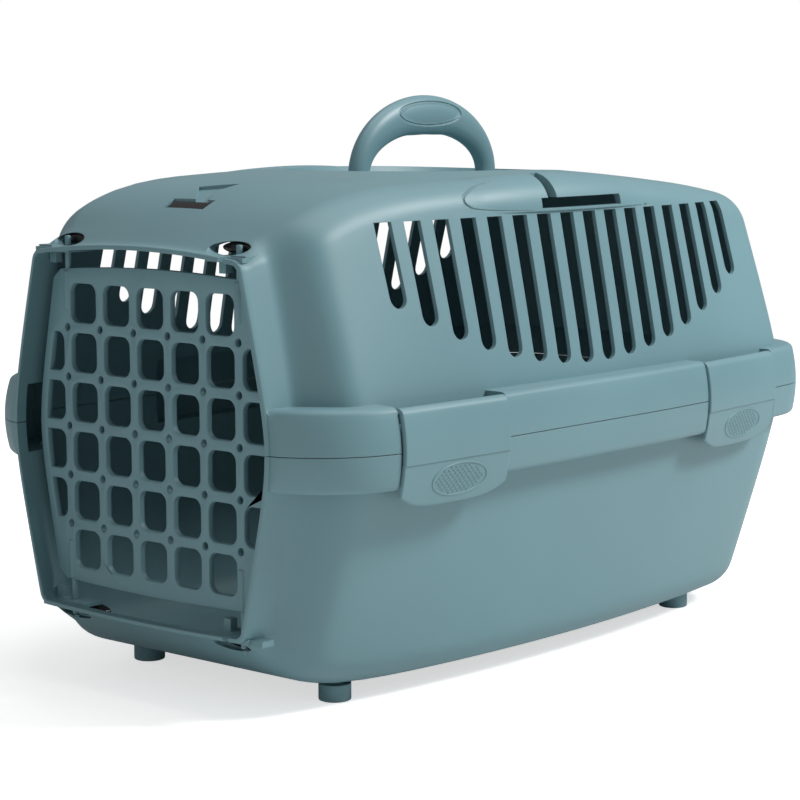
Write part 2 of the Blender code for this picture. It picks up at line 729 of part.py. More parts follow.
def build_shells():
    outer = body_solid("outer", 0.0)
    inner = body_solid("inner", WALL)
    band = band_solid("band", 0.0, BAND_START)
    hollow = band_solid("band_hollow", WALL, 0.008)
    for place, (t, side) in LATCH_PLACES.items():
        frame = latch_frame(t, side)
        cut(band, pocket_cutter("pocket_" + place, frame, 0.0))
        cut(hollow, pocket_cutter("pocket_wall_" + place, frame, WALL))
    join(outer, band, guide_pad(1), guide_pad(-1))
    for place, (t, side) in LATCH_PLACES.items():
        join(outer, catch_rib("catch_" + place, latch_frame(t, side)))
    join(inner, hollow)
    cut(inner, recess_solid("recess_wall", WALL))
    cut(outer, recess_solid("recess", 0.0))
    for side in (1, -1):
        join(outer, corner_tab(side, True), corner_tab(side, False), handle_lug(side))
        cut(outer, guide_cutter(side), pin_opening(side, True), pin_opening(side, False))
    cut(outer, front_guide_cutter())

    wide = LENGTH
    top_half = box("top_half", (-wide, -wide, SEAM_HEIGHT + SHELL_GAP / 2), (wide, wide, ROOF_HEIGHT * 2))
    bottom_half = box("bottom_half", (-wide, -wide, -0.1), (wide, wide, SEAM_HEIGHT - SHELL_GAP / 2))
    top = copy_object(outer, "top_shell", PARTS)
    bottom = copy_object(outer, "bottom_shell", PARTS)
    combine(top, top_half, "INTERSECT")
    combine(bottom, bottom_half, "INTERSECT")
    for shell, upper in ((top, True), (bottom, False)):
        cut(shell, inner)
        for side in (1, -1):
            join(shell, ledge(side, upper), guide_post(side, upper))

    reach = HANDLE_OUTER_SPAN + HANDLE_SIDE_GAP + LUG_THICKNESS + 0.001
    handle_bore = cylinder("handle_bore", (0, -reach, HANDLE_PIVOT_HEIGHT), (0, reach, HANDLE_PIVOT_HEIGHT),
                           HANDLE_PIN_RADIUS + FIT_GAP, 16)
    latch_bores = [latch_pin_bore(latch_frame(t, side)) for t, side in LATCH_PLACES.values()]
    pin_holes = [pin_hole(side, True) for side in (1, -1)]
    cut(top, gather("top_cuts", [vent_cutters(), handle_bore, *latch_bores, *pin_holes]))
    foot_holes = []
    for x in (-FOOT_X, FOOT_X):
        for y in (FRONT + FOOT_NEAR, FRONT + FOOT_FAR):
            low, high = BELLY_HEIGHT - 0.004, BELLY_HEIGHT + 0.02
            foot_holes.append(cylinder("foot_hole", (x, y, low), (x, y, high),
                                       FOOT_SPIGOT_RADIUS + FIT_GAP, 16))
    cut(bottom, gather("bottom_cuts", [*foot_holes, pin_hole(1, False), pin_hole(-1, False)]))
    finish_part(top, make_material("top_shell_plastic", SHELL_PLASTIC, 0.48))
    finish_part(bottom, make_material("bottom_shell_plastic", SHELL_PLASTIC, 0.48))
    return top, bottom


# ---------------------------------------------------------------- grille door
def rounded_rectangle(half_x, half_z, corner, steps):
    points = []
    for cx, cz, start in ((1, 1, 0), (-1, 1, 90), (-1, -1, 180), (1, -1, 270)):
        for i in range(steps + 1):
            angle = math.radians(start + 90 * i / steps)
            points.append((cx * (half_x - corner) + corner * math.cos(angle),
                           cz * (half_z - corner) + corner * math.sin(angle)))
    return points


def door_half_width(z):
    return side_x(DOOR_HALF_WIDTH, DOOR_SIDE_SLOPE, z - SEAM_HEIGHT)


def door_outline(inset):
    """The grille's outline: bowed sides, crowned top and bottom."""
    right = []
    top, bottom = DOOR_TOP - inset, DOOR_BOTTOM + inset
    corner = DOOR_CORNER
    for i in range(9):
        z = top - corner + (bottom + corner - (top - corner)) * i / 8
        right.append((door_half_width(z) - inset, z))
    crown_top, crown_bottom = [], []
    wide_top = door_half_width(top) - inset - corner
    wide_bottom = door_half_width(bottom) - inset - corner
    for i in range(9):
        share = -1 + 2 * i / 8
        crown_top.append((share * wide_top, top + DOOR_CROWN * (1 - share ** 2)))
        crown_bottom.append((-share * wide_bottom, bottom - DOOR_CROWN * 0.6 * (1 - share ** 2)))
    left = [(-x, z) for x, z in reversed(right)]
    return crown_top + right + crown_bottom + left


def prism(name, outline, y_low, y_high, collection=None):
    rings = [[(x, y, z) for x, z in outline] for y in (y_low, y_high)]
    return object_from_bmesh(name, loft(rings), collection or CUTTERS)


def grid_cutter(column, row):
    """One opening of the grille; the outer columns stop at the edge bar."""
    x = column * GRID_PITCH_X
    z = GRID_MIDDLE + (row - (GRID_ROWS - 1) / 2) * GRID_PITCH_Z
    outline = [(x + px, z + pz) for px, pz in rounded_rectangle(GRID_HOLE_X / 2, GRID_HOLE_Z / 2,
                                                                GRID_HOLE_CORNER, 3)]
    item = prism(f"grid_{column}_{row}", outline, DOOR_Y - 0.01, DOOR_Y + 0.01)
    if abs(column) > GRID_COLUMNS // 2:
        limit = prism("edge_limit", door_outline(GRID_EDGE_BAR), DOOR_Y - 0.02, DOOR_Y + 0.02)
        combine(item, limit, "INTERSECT")
    return item


def knuckle_places():
    """The four corners where a pin enters the grille: side, +1 up or -1 down, name."""
    return [(-1, 1, "door_pin_top_left"), (-1, -1, "door_pin_bottom_left"),
            (1, 1, "door_lock_pin_top_right"), (1, -1, "door_lock_pin_bottom_right")]


def knuckle_end(direction):
    return DOOR_TOP - 0.001 if direction > 0 else DOOR_BOTTOM + 0.001


def build_door():
    y_low, y_high = DOOR_Y - DOOR_THICKNESS / 2, DOOR_Y + DOOR_THICKNESS / 2
    door = prism("door_grille", door_outline(0), y_low, y_high, PARTS)
    reach = GRID_COLUMNS // 2 + 1
    for row in range(GRID_ROWS):
        for column in range(-reach, reach + 1):
            if abs(column) == reach and row in (0, GRID_ROWS - 1):
                continue
            cut(door, grid_cutter(column, row))
    for side, direction, name in knuckle_places():
        end = knuckle_end(direction)
        bore_end = end - direction * KNUCKLE_BORE
        x = side * PIN_X
        join(door, cylinder("knuckle", (x, DOOR_Y, bore_end - direction * KNUCKLE_FLOOR), (x, DOOR_Y, end),
                            KNUCKLE_RADIUS, 16))
        cut(door, cylinder(name + "_bore", (x, DOOR_Y, bore_end), (x, DOOR_Y, end + direction * 0.01),
                           PIN_RADIUS + FIT_GAP, 16))
    for row in range(GRID_ROWS - 1):
        for column in range(GRID_COLUMNS + 1):
            x = (column - GRID_COLUMNS / 2) * GRID_PITCH_X
            z = GRID_MIDDLE + (row - (GRID_ROWS - 2) / 2) * GRID_PITCH_Z
            cut(door, cylinder("dot", (x, DOOR_Y - 0.01, z), (x, DOOR_Y + 0.01, z), GRID_DOT_RADIUS, 8))
    finish_part(door, make_material("door_plastic", SHELL_PLASTIC, 0.5), (-PIN_X, DOOR_Y, SEAM_HEIGHT))
    for side, direction, name in knuckle_places():
        end = knuckle_end(direction)
        start = end - direction * PIN_IN_KNUCKLE
        tip = rim_level(direction > 0) + direction * PIN_RISE
        origin = (side * PIN_X, DOOR_Y, end)
        pin = cylinder(name, (side * PIN_X, DOOR_Y, start), (side * PIN_X, DOOR_Y, tip), PIN_RADIUS, 16,
                       PARTS)
        finish_part(pin, make_material(name + "_plastic", SHELL_PLASTIC, 0.45), origin)


# ---------------------------------------------------------------- latches
def latch_face(z):
    """The latch's face follows the band's bowed face; the thumb tab lies one step lower."""
    return LATCH_PROUD - band_bow(z) - (LATCH_STEP_DEPTH if z < LATCH_STEP else 0)


def latch_solid(name, frame):
    """A bowed cover plate with a thumb tab below its step, hung on a barrel near its top."""
    rings = []
    half = LATCH_WIDTH / 2
    for i in range(11):
        share = -1 + 2 * i / 10
        bottom = LATCH_BOTTOM + LATCH_BOTTOM_ARC * share ** 4
        heights = [LATCH_TOP, (LATCH_TOP + SEAM_HEIGHT) / 2, SEAM_HEIGHT, LATCH_STEP + 0.0001,
                   LATCH_STEP - 0.0001, (LATCH_STEP + bottom) / 2, bottom]
        front = [(latch_face(z), z) for z in heights]
        back = [(latch_face(z) - LATCH_THICKNESS, z) for z in reversed(heights)]
        rings.append([(share * half, n, z) for n, z in front + back])
    latch = object_from_bmesh(name, loft(rings), PARTS)
    barrel_half = half - 0.0004
    pivot = (-LATCH_PIVOT_DEPTH, LATCH_PIVOT_HEIGHT)
    web_half = LATCH_BARREL * 0.7
    join(latch,
         cylinder("barrel", (-barrel_half, *pivot), (barrel_half, *pivot), LATCH_BARREL, 16),
         box("web", (-barrel_half, -LATCH_PIVOT_DEPTH, LATCH_PIVOT_HEIGHT - web_half),
             (barrel_half, latch_face(LATCH_PIVOT_HEIGHT) - LATCH_THICKNESS / 2,
              LATCH_PIVOT_HEIGHT + web_half)),
         box("bead", (-BEAD_HALF_WIDTH, -LATCH_BEAD_REACH, LATCH_BEAD_HEIGHT - LATCH_BEAD_HALF),
             (BEAD_HALF_WIDTH, latch_face(LATCH_BEAD_HEIGHT) - LATCH_THICKNESS / 2,
              LATCH_BEAD_HEIGHT + LATCH_BEAD_HALF)))
    cut(latch, cylinder("bore", (-half - 0.001, *pivot), (half + 0.001, *pivot),
                        LATCH_PIN_RADIUS + FIT_GAP, 12))
    latch.data.transform(frame)
    if frame.determinant() < 0:
        latch.data.flip_normals()
    return latch


def build_latches():
    for place, (t, side) in LATCH_PLACES.items():
        frame = latch_frame(t, side)
        axis_middle = frame @ Vector((0, -LATCH_PIVOT_DEPTH, LATCH_PIVOT_HEIGHT))
        latch = latch_solid("latch_" + place, frame)
        finish_part(latch, make_material("latch_plastic_" + place, SHELL_PLASTIC, 0.46), axis_middle)
        half = LATCH_WIDTH / 2 + LATCH_SIDE_GAP + WALL
        start = frame @ Vector((-half, -LATCH_PIVOT_DEPTH, LATCH_PIVOT_HEIGHT))
        end = frame @ Vector((half, -LATCH_PIVOT_DEPTH, LATCH_PIVOT_HEIGHT))
        pin = cylinder("latch_pin_" + place, start, end, LATCH_PIN_RADIUS, 12, PARTS)
        finish_part(pin, make_material("latch_pin_steel_" + place, STEEL, 0.35, 1.0), axis_middle)


# ---------------------------------------------------------------- handle
def handle_ring(angle):
    """Oval section of the bail at an angle of its arc."""
    along, up = math.cos(angle), math.sin(angle)
    outer = Vector((0, HANDLE_OUTER_SPAN * along, HANDLE_ARC_HEIGHT + HANDLE_OUTER_RISE * up))
    inner = Vector((0, HANDLE_INNER_SPAN * along, HANDLE_ARC_HEIGHT + HANDLE_INNER_RISE * up))
    middle = (outer + inner) / 2
    radial = (outer - inner) / 2
    thickness = HANDLE_LEG_HALF + (HANDLE_GRIP_HALF - HANDLE_LEG_HALF) * up ** 2
    ring = []
    for i in range(14):
        turn = math.tau * i / 14
        ring.append(middle + radial * math.cos(turn) + Vector((thickness * math.sin(turn), 0, 0)))
    return ring


def build_handle():
    rings = []
    foot = handle_ring(0)
    drop = HANDLE_ARC_HEIGHT - HANDLE_PIVOT_HEIGHT
    rings.append([point - Vector((0, 0, drop)) for point in foot])
    rings += [handle_ring(math.pi * i / 18) for i in range(19)]
    rings.append([point - Vector((0, 0, drop)) for point in handle_ring(math.pi)])
    handle = object_from_bmesh("carry_handle", loft(rings), PARTS)
    for side in (1, -1):
        near, far = side * HANDLE_INNER_SPAN, side * HANDLE_OUTER_SPAN
        proud = side * HANDLE_BOSS_PROUD
        join(handle, cylinder("boss", (0, near - proud, HANDLE_PIVOT_HEIGHT),
                              (0, far + proud, HANDLE_PIVOT_HEIGHT), HANDLE_BOSS_RADIUS, 20))
        cut(handle, cylinder("bore", (0, near + side * 0.002, HANDLE_PIVOT_HEIGHT),
                             (0, far + side * 0.01, HANDLE_PIVOT_HEIGHT), HANDLE_PIN_RADIUS + FIT_GAP, 16))
    finish_part(handle, make_material("handle_plastic", SHELL_PLASTIC, 0.45), (0, 0, HANDLE_PIVOT_HEIGHT))
    for side, name in ((-1, "handle_pin_front"), (1, "handle_pin_rear")):
        near = side * (HANDLE_INNER_SPAN + 0.003)
        far = side * (HANDLE_OUTER_SPAN + HANDLE_SIDE_GAP + LUG_THICKNESS - 0.0005)
        pin = cylinder(name, (0, near, HANDLE_PIVOT_HEIGHT), (0, far, HANDLE_PIVOT_HEIGHT),
                       HANDLE_PIN_RADIUS, 16, PARTS)
        finish_part(pin, make_material(name + "_steel", STEEL, 0.35, 1.0),
                    (0, side * (HANDLE_OUTER_SPAN + HANDLE_SIDE_GAP), HANDLE_PIVOT_HEIGHT))


# ---------------------------------------------------------------- feet
def build_feet():
    for x, side in ((-FOOT_X, "left"), (FOOT_X, "right")):
        for t, end in ((FOOT_NEAR, "front"), (FOOT_FAR, "rear")):
            y = FRONT + t
            name = f"foot_{end}_{side}"
            foot = cylinder(name, (x, y, 0), (x, y, BELLY_HEIGHT - FIT_GAP), FOOT_RADIUS, 24, PARTS)
            join(foot, cylinder("spigot", (x, y, BELLY_HEIGHT - 0.002),
                                (x, y, BELLY_HEIGHT + FOOT_SPIGOT_LENGTH), FOOT_SPIGOT_RADIUS, 16))
            finish_part(foot, make_material(name + "_plastic", SHELL_PLASTIC, 0.5), (x, y, 0))


build_shells()
build_door()
build_latches()
build_handle()
build_feet()
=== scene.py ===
# %% [markdown]
# # A moulded pet carrier, piece by piece
# The carrier is two thin shells of satin polypropylene that meet at a bowed band, with a grille
# door on pins, four latches and a folding handle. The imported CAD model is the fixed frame: it
# says where every body and joint is. This script gives each body its finished surface.

import json
import math

import bmesh
import bpy
from mathutils import Matrix, Vector


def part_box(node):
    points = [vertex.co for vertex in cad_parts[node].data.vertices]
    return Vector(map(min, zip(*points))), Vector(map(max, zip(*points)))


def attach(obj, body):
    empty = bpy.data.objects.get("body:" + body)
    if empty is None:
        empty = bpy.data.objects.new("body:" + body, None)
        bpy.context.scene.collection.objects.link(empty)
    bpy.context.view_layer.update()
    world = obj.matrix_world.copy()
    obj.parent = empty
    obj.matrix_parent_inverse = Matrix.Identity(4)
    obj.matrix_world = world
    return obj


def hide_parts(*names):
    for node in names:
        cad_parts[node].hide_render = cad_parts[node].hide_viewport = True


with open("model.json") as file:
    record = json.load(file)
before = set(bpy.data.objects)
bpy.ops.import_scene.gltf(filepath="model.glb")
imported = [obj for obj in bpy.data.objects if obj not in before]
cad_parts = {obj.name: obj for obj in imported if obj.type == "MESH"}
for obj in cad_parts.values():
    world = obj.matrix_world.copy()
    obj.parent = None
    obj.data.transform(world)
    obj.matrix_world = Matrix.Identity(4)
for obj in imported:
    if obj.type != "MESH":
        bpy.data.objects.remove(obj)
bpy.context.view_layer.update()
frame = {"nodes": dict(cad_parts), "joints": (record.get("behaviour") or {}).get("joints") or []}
joints = {joint["name"]: joint for joint in frame["joints"]}

# %% [markdown]
# ## Sizes
# The few sizes that the frame can give are read from it: the length, the seam between the two
# shells, the door's plane and the handle's pivot. The rest are the mould's own dimensions, in
# metres. Distances called t run backwards from the door rim.

# %% Sizes read from the frame
lower_low, lower_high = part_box("bottom_shell")
upper_low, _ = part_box("top_shell")
door_low, door_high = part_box("door_grille")
FRONT = lower_low.y
LENGTH = -2 * FRONT
SEAM_HEIGHT = (lower_high.z + upper_low.z) / 2
SHELL_GAP = upper_low.z - lower_high.z
DOOR_Y = (door_low.y + door_high.y) / 2
PIN_X = -joints["door_swing"]["pos_m"][0]
HANDLE_PIVOT_HEIGHT = joints["handle_fold"]["pos_m"][2]
print(f"length {LENGTH:.3f}, seam {SEAM_HEIGHT:.4f}, gap {SHELL_GAP:.4f}, pins at x {PIN_X:.4f}")

# %% Sizes of the mould
DETAIL = 2
WALL = 0.0026
ROOF_HEIGHT = 0.294
BODY_HALF_WIDTH = 0.1395
BODY_BULGE = 0.007
RIM_HALF_WIDTH = 0.103
RIM_FLARE = 0.003
RIM_TOP = 0.256
RIM_BOTTOM = 0.044
RIM_CORNER = 0.008
RIM_SIDE_SLOPE = 0.25
RIM_TOP_CROWN = 0.0045
RIM_BOTTOM_CROWN = 0.0015
RIM_LIP = 0.0012
SHELF_DEPTH = 0.005
VALLEY_START = 0.017
VALLEY_REACH = 0.014
ROOF_RISE_REACH = 0.0415
BELLY_DROP_REACH = 0.028
BELLY_HEIGHT = 0.010
ROOF_FALL = 0.013
ROOF_CREST = 0.220
ROOF_SHOULDER = 0.410
SIDE_SLOPE = 0.205
SIDE_SLOPE_ENDS = 0.20
SEAM_ROUNDING = 0.024
ROOF_CORNER = 0.018
ROOF_CORNER_ENDS = 0.012
BELLY_CORNER = 0.026
REAR_PLAN_CORNER = 0.046
REAR_EDGE_CORNER = 0.026
ROOF_CROWN = 0.0045
BAND_HALF_WIDTH = 0.154
BAND_STANDOFF = 0.015
BAND_ABOVE = 0.0245
BAND_BELOW = 0.0205
BAND_START_HALF = 0.1045
BAND_START = 0.0015
BAND_FLARE = 0.021
BAND_TAPER = 0.012
BAND_REAR_CORNER = 0.048
BAND_EDGE = 0.003
BAND_BOW = 0.0035
BODY_END = LENGTH - BAND_STANDOFF


# %% [markdown]
# ## Small tools for meshes
# Each piece is a closed surface. A loft joins rings of points, a turned piece is a profile spun
# round an axis, and exact Booleans cut one solid with another. Every solid is made of flat
# triangles before it is cut, so both sides of a cut see the same surface.

# %% Mesh tools
BAR_SIDES = 10
RAY_START = 0.4
EDGE_SHARE = 0.3


def new_object(name, data):
    made = bpy.data.objects.new(name, data)
    bpy.context.scene.collection.objects.link(made)
    return made


def mesh_piece(name, bm):
    bmesh.ops.recalc_face_normals(bm, faces=bm.faces)
    bmesh.ops.triangulate(bm, faces=bm.faces)
    mesh = bpy.data.meshes.new(name)
    bm.to_mesh(mesh)
    bm.free()
    return new_object(name, mesh)


def turns(count):
    """The angles of one full turn, evenly spaced."""
    return [math.tau * i / count for i in range(count)]


def plan_middle(low, high):
    return (low.x + high.x) / 2, (low.y + high.y) / 2


def loft(name, rings, closed=False):
    """Joins rings of points; a closed loft joins its last ring to its first."""
    bm = bmesh.new()
    rows = [[bm.verts.new(point) for point in ring] for ring in rings]
    count = len(rows[0])
    for near, far in zip(rows, rows[1:] + rows[:1] if closed else rows[1:]):
        for i in range(count):
            j = (i + 1) % count
            bm.faces.new((near[i], near[j], far[j], far[i]))
    if not closed:
        bm.faces.new(rows[0])
        bm.faces.new(rows[-1])
    return mesh_piece(name, bm)


def bar_along(name, path, outward, radii, closed=False):
    """A round bar along a path, with one radius for each point."""
    rings = []
    last = len(path) - 1
    for i, point in enumerate(path):
        before = path[i - 1] if closed or i > 0 else point
        after = path[(i + 1) % len(path)] if closed or i < last else point
        ahead = (after - before).normalized()
        beside = ahead.cross(outward).normalized()
        above = beside.cross(ahead)
        rings.append([point + radii[i] * (beside * math.cos(turn) + above * math.sin(turn))
                      for turn in turns(BAR_SIDES)])
    return loft(name, rings, closed)


def on_surface(piece, side, y, z):
    """The point of the piece's surface met from the side at this length and height."""
    found, point, _, _ = piece.ray_cast((side * RAY_START, y, z), (-side, 0, 0))
    return point if found else None


def block(name, low, high):
    bm = bmesh.new()
    size = Vector(high) - Vector(low)
    middle = Matrix.Translation((Vector(high) + Vector(low)) / 2)
    bmesh.ops.create_cube(bm, size=1.0, matrix=middle @ Matrix.Diagonal((*size, 1)))
    return mesh_piece(name, bm)


def turned(name, start, end, profile, segments=32):
    """A profile of (distance from start, radius) spun round the line from start to end."""
    start, end = Vector(start), Vector(end)
    spin = (end - start).to_track_quat("Z", "Y")
    return loft(name, [[start + spin @ Vector((radius * math.cos(turn), radius * math.sin(turn), along))
                        for turn in turns(segments)] for along, radius in profile])


def broken_edge(radius, edge):
    """The start of a rod's profile, where its end is broken by a small round edge."""
    return [(0, radius - edge), (edge * EDGE_SHARE, radius - edge * EDGE_SHARE), (edge, radius)]


def rod(name, start, end, radius, edge=0.0, segments=32):
    """A round bar, with plain ends or ends broken by an edge."""
    length = (Vector(end) - Vector(start)).length
    if edge == 0:
        return turned(name, start, end, [(0, radius), (length, radius)], segments)
    near = broken_edge(radius, edge)
    far = [(length - along, end_radius) for along, end_radius in reversed(near)]
    return turned(name, start, end, near + far, segments)


def apply_modifiers(piece):
    graph = bpy.context.evaluated_depsgraph_get()
    piece.data = bpy.data.meshes.new_from_object(piece.evaluated_get(graph))
    piece.modifiers.clear()


def boolean(target, tool, operation, keep_tool=False):
    modifier = target.modifiers.new("cut", "BOOLEAN")
    modifier.operation = operation
    modifier.solver = "EXACT"
    modifier.object = tool
    apply_modifiers(target)
    if not keep_tool:
        bpy.data.objects.remove(tool, do_unlink=True)


def gathered(name, pieces):
    """Several separate solids as one mesh."""
    bm = bmesh.new()
    for piece in pieces:
        bm.from_mesh(piece.data)
        bpy.data.objects.remove(piece, do_unlink=True)
    return mesh_piece(name, bm)


def place(piece, matrix):
    piece.data.transform(matrix)
    if matrix.determinant() < 0:
        piece.data.flip_normals()
    return piece


def finish_surface(piece, material, sharp=35):
    """Smooth shading that stays crisp at edges sharper than the angle."""
    piece.data.materials.clear()
    piece.data.materials.append(material)
    piece.data.shade_smooth()
    piece.data.set_sharp_from_angle(angle=math.radians(sharp))
    return piece


# %% [markdown]
# ## Geometry Nodes, built in code
# What repeats is made by a node tree with named sizes. A helper makes an empty tree with those
# sockets, another runs it on a piece and turns the result into a plain mesh.

# %% Node tools
def new_tree(name, sizes):
    tree = bpy.data.node_groups.new(name, "GeometryNodeTree")
    tree.interface.new_socket("Geometry", in_out="INPUT", socket_type="NodeSocketGeometry")
    for size, kind in sizes.items():
        tree.interface.new_socket(size, in_out="INPUT", socket_type="NodeSocket" + kind)
    tree.interface.new_socket("Geometry", in_out="OUTPUT", socket_type="NodeSocketGeometry")
    return tree, tree.nodes.new("NodeGroupInput"), tree.nodes.new("NodeGroupOutput")


def node(tree, kind, inputs=None, **settings):
    """A new node; inputs holds sockets to link from, or plain values, by name or number."""
    made = tree.nodes.new(kind)
    for key, value in settings.items():
        setattr(made, key, value)
    for key, value in (inputs or {}).items():
        if isinstance(value, bpy.types.NodeSocket):
            tree.links.new(value, made.inputs[key])
        else:
            made.inputs[key].default_value = value
    return made


def maths(tree, operation, first, second=0.0):
    return node(tree, "ShaderNodeMath", {0: first, 1: second}, operation=operation).outputs[0]


def run_tree(piece, tree, values):
    """Runs the tree on the piece and keeps the result as its plain mesh."""
    modifier = piece.modifiers.new("nodes", "NODES")
    modifier.node_group = tree
    for item in tree.interface.items_tree:
        if item.item_type == "SOCKET" and item.in_out == "INPUT" and item.name in values:
            modifier[item.identifier] = values[item.name]
    apply_modifiers(piece)
    return piece


def point_grid(tree, sizes, pitch_x, pitch_y):
    """Points in Columns and Rows, centred on the origin."""
    spans = [maths(tree, "MULTIPLY", sizes[pitch], maths(tree, "SUBTRACT", sizes[count], 1.0))
             for pitch, count in ((pitch_x, "Columns"), (pitch_y, "Rows"))]
    return node(tree, "GeometryNodeMeshGrid", {
        "Size X": spans[0], "Size Y": spans[1], "Vertices X": sizes["Columns"],
        "Vertices Y": sizes["Rows"]}).outputs[0]


def paint_and_end(tree, geometry, sizes, out):
    painted = node(tree, "GeometryNodeSetMaterial", {"Geometry": geometry.outputs[0],
                                                     "Material": sizes["Material"]})
    tree.links.new(painted.outputs[0], out.inputs[0])
    return tree


# %% [markdown]
# ## The plastic
# Injection-moulded polypropylene has a fine, even grain from the etched mould, a slow change of
# tone where the melt flowed, and edges that catch a little light because no mould edge is truly
# sharp. Those effects and a thin film of dust are shader groups, shared by every plastic piece.

# %% Shader groups
FINE_SHARE = 0.6
RUB_GAIN = 4.0


def shader_group(name, inputs, outputs):
    group = bpy.data.node_groups.new(name, "ShaderNodeTree")
    for label, kind, value in inputs:
        socket = group.interface.new_socket(label, in_out="INPUT", socket_type="NodeSocket" + kind)
        if value is not None:
            socket.default_value = value
    for label, kind in outputs:
        group.interface.new_socket(label, in_out="OUTPUT", socket_type="NodeSocket" + kind)
    return group, group.nodes.new("NodeGroupInput"), group.nodes.new("NodeGroupOutput")


def noise(tree, vector, scale, detail, roughness=0.5):
    return node(tree, "ShaderNodeTexNoise", {"Vector": vector, "Scale": scale, "Detail": detail,
                                             "Roughness": roughness}).outputs["Fac"]


def mould_grain_group():
    """Etched grain as a height, and the slow flow of tone as a value about one half."""
    group, given, out = shader_group(
        "mould_grain",
        [("Vector", "Vector", None), ("Grain Scale", "Float", 900.0), ("Flow Scale", "Float", 7.0)],
        [("Height", "Float"), ("Flow", "Float")])
    where, grain = given.outputs["Vector"], given.outputs["Grain Scale"]
    fine = noise(group, where, grain, 2.0)
    pits = node(group, "ShaderNodeTexVoronoi", {"Vector": where, "Scale": grain})
    height = maths(group, "ADD", maths(group, "MULTIPLY", fine, FINE_SHARE),
                   maths(group, "MULTIPLY", pits.outputs["Distance"], 1 - FINE_SHARE))
    group.links.new(height, out.inputs["Height"])
    group.links.new(noise(group, where, given.outputs["Flow Scale"], 3.0, 0.45), out.inputs["Flow"])
    return group


def rubbed_edges_group():
    """A mask that is 1 where a rounded normal turns away from the flat one, broken up by noise."""
    group, given, out = shader_group(
        "rubbed_edges",
        [("Vector", "Vector", None), ("Rounded Normal", "Vector", None), ("Amount", "Float", 1.0)],
        [("Mask", "Float")])
    flat = node(group, "ShaderNodeNewGeometry")
    same = node(group, "ShaderNodeVectorMath",
                {0: given.outputs["Rounded Normal"], 1: flat.outputs["Normal"]}, operation="DOT_PRODUCT")
    turned_away = maths(group, "MULTIPLY", maths(group, "SUBTRACT", 1.0, same.outputs["Value"]), RUB_GAIN)
    patches = noise(group, given.outputs["Vector"], 60.0, 3.0)
    breaks = maths(group, "MULTIPLY", patches, given.outputs["Amount"])
    limited = node(group, "ShaderNodeClamp", {"Value": maths(group, "MULTIPLY", turned_away, breaks)})
    group.links.new(limited.outputs[0], out.inputs["Mask"])
    return group


def settled_dust_group():
    """A thin film on faces that look up, thicker in patches."""
    group, given, out = shader_group(
        "settled_dust", [("Vector", "Vector", None), ("Amount", "Float", 0.1)], [("Mask", "Float")])
    flat = node(group, "ShaderNodeNewGeometry")
    upwards = node(group, "ShaderNodeSeparateXYZ", {0: flat.outputs["Normal"]})
    facing = node(group, "ShaderNodeMapRange",
                  {"Value": upwards.outputs["Z"], "From Min": 0.35, "From Max": 1.0})
    film = maths(group, "MULTIPLY", facing.outputs[0], noise(group, given.outputs["Vector"], 22.0, 5.0))
    group.links.new(maths(group, "MULTIPLY", film, given.outputs["Amount"]), out.inputs["Mask"])
    return group


MOULD_GRAIN = mould_grain_group()
RUBBED_EDGES = rubbed_edges_group()
SETTLED_DUST = settled_dust_group()


# %% Plastic and steel
GREY_TEAL = (0.152, 0.287, 0.325)
# Near-black for the fills in the corner openings and the door slot: painted shade for the dark interior seen
# through them.
PAINTED_SHADE_BLACK = (0.011, 0.009, 0.009)
PALE_RUB = (0.30, 0.42, 0.44)
DUST = (0.48, 0.50, 0.49)
EDGE_RADIUS = 0.0006
FLOW_LOW = 0.3
FLOW_HIGH = 0.7
DUST_ROUGHNESS = 0.4


def new_material(name):
    material = bpy.data.materials.new(name)
    material.use_nodes = True
    return material, material.node_tree, material.node_tree.nodes["Principled BSDF"]


def spread(tree, value, low, high, value_low=0.0, value_high=1.0):
    """The value's span stretched to run from low to high."""
    return node(tree, "ShaderNodeMapRange", {"Value": value, "From Min": value_low, "From Max": value_high,
                                             "To Min": low, "To Max": high}).outputs[0]


def moulded_plastic(name, colour, roughness=0.46, grain_height=0.00004, rub=0.35, dust=0.10):
    """Satin polypropylene: grain in the bump, flow in the tone, paler rubbed edges and a dust film."""
    material, tree, shader = new_material(name)
    where = node(tree, "ShaderNodeTexCoord").outputs["Object"]
    surface = node(tree, "ShaderNodeGroup", {"Vector": where}, node_tree=MOULD_GRAIN)
    flow = surface.outputs["Flow"]
    rounded = node(tree, "ShaderNodeBevel", {"Radius": EDGE_RADIUS}, samples=4).outputs["Normal"]
    wear = node(tree, "ShaderNodeGroup", {"Vector": where, "Rounded Normal": rounded, "Amount": rub},
                node_tree=RUBBED_EDGES).outputs["Mask"]
    film = node(tree, "ShaderNodeGroup", {"Vector": where, "Amount": dust},
                node_tree=SETTLED_DUST).outputs["Mask"]

    tone = spread(tree, flow, 0.94, 1.05, FLOW_LOW, FLOW_HIGH)
    base = node(tree, "ShaderNodeVectorMath", {0: colour, "Scale": tone}, operation="SCALE")
    rubbed = node(tree, "ShaderNodeMix", {0: wear, 6: base.outputs["Vector"], 7: (*PALE_RUB, 1)},
                  data_type="RGBA")
    dusty = node(tree, "ShaderNodeMix", {0: film, 6: rubbed.outputs[2], 7: (*DUST, 1)}, data_type="RGBA")
    tree.links.new(dusty.outputs[2], shader.inputs["Base Color"])

    satin = spread(tree, flow, roughness - 0.04, roughness + 0.05, FLOW_LOW, FLOW_HIGH)
    rough = maths(tree, "ADD", satin, maths(tree, "MULTIPLY", film, DUST_ROUGHNESS))
    tree.links.new(rough, shader.inputs["Roughness"])
    bump = node(tree, "ShaderNodeBump", {"Height": surface.outputs["Height"], "Strength": 0.45,
                                         "Distance": grain_height, "Normal": rounded})
    tree.links.new(bump.outputs["Normal"], shader.inputs["Normal"])
    return material


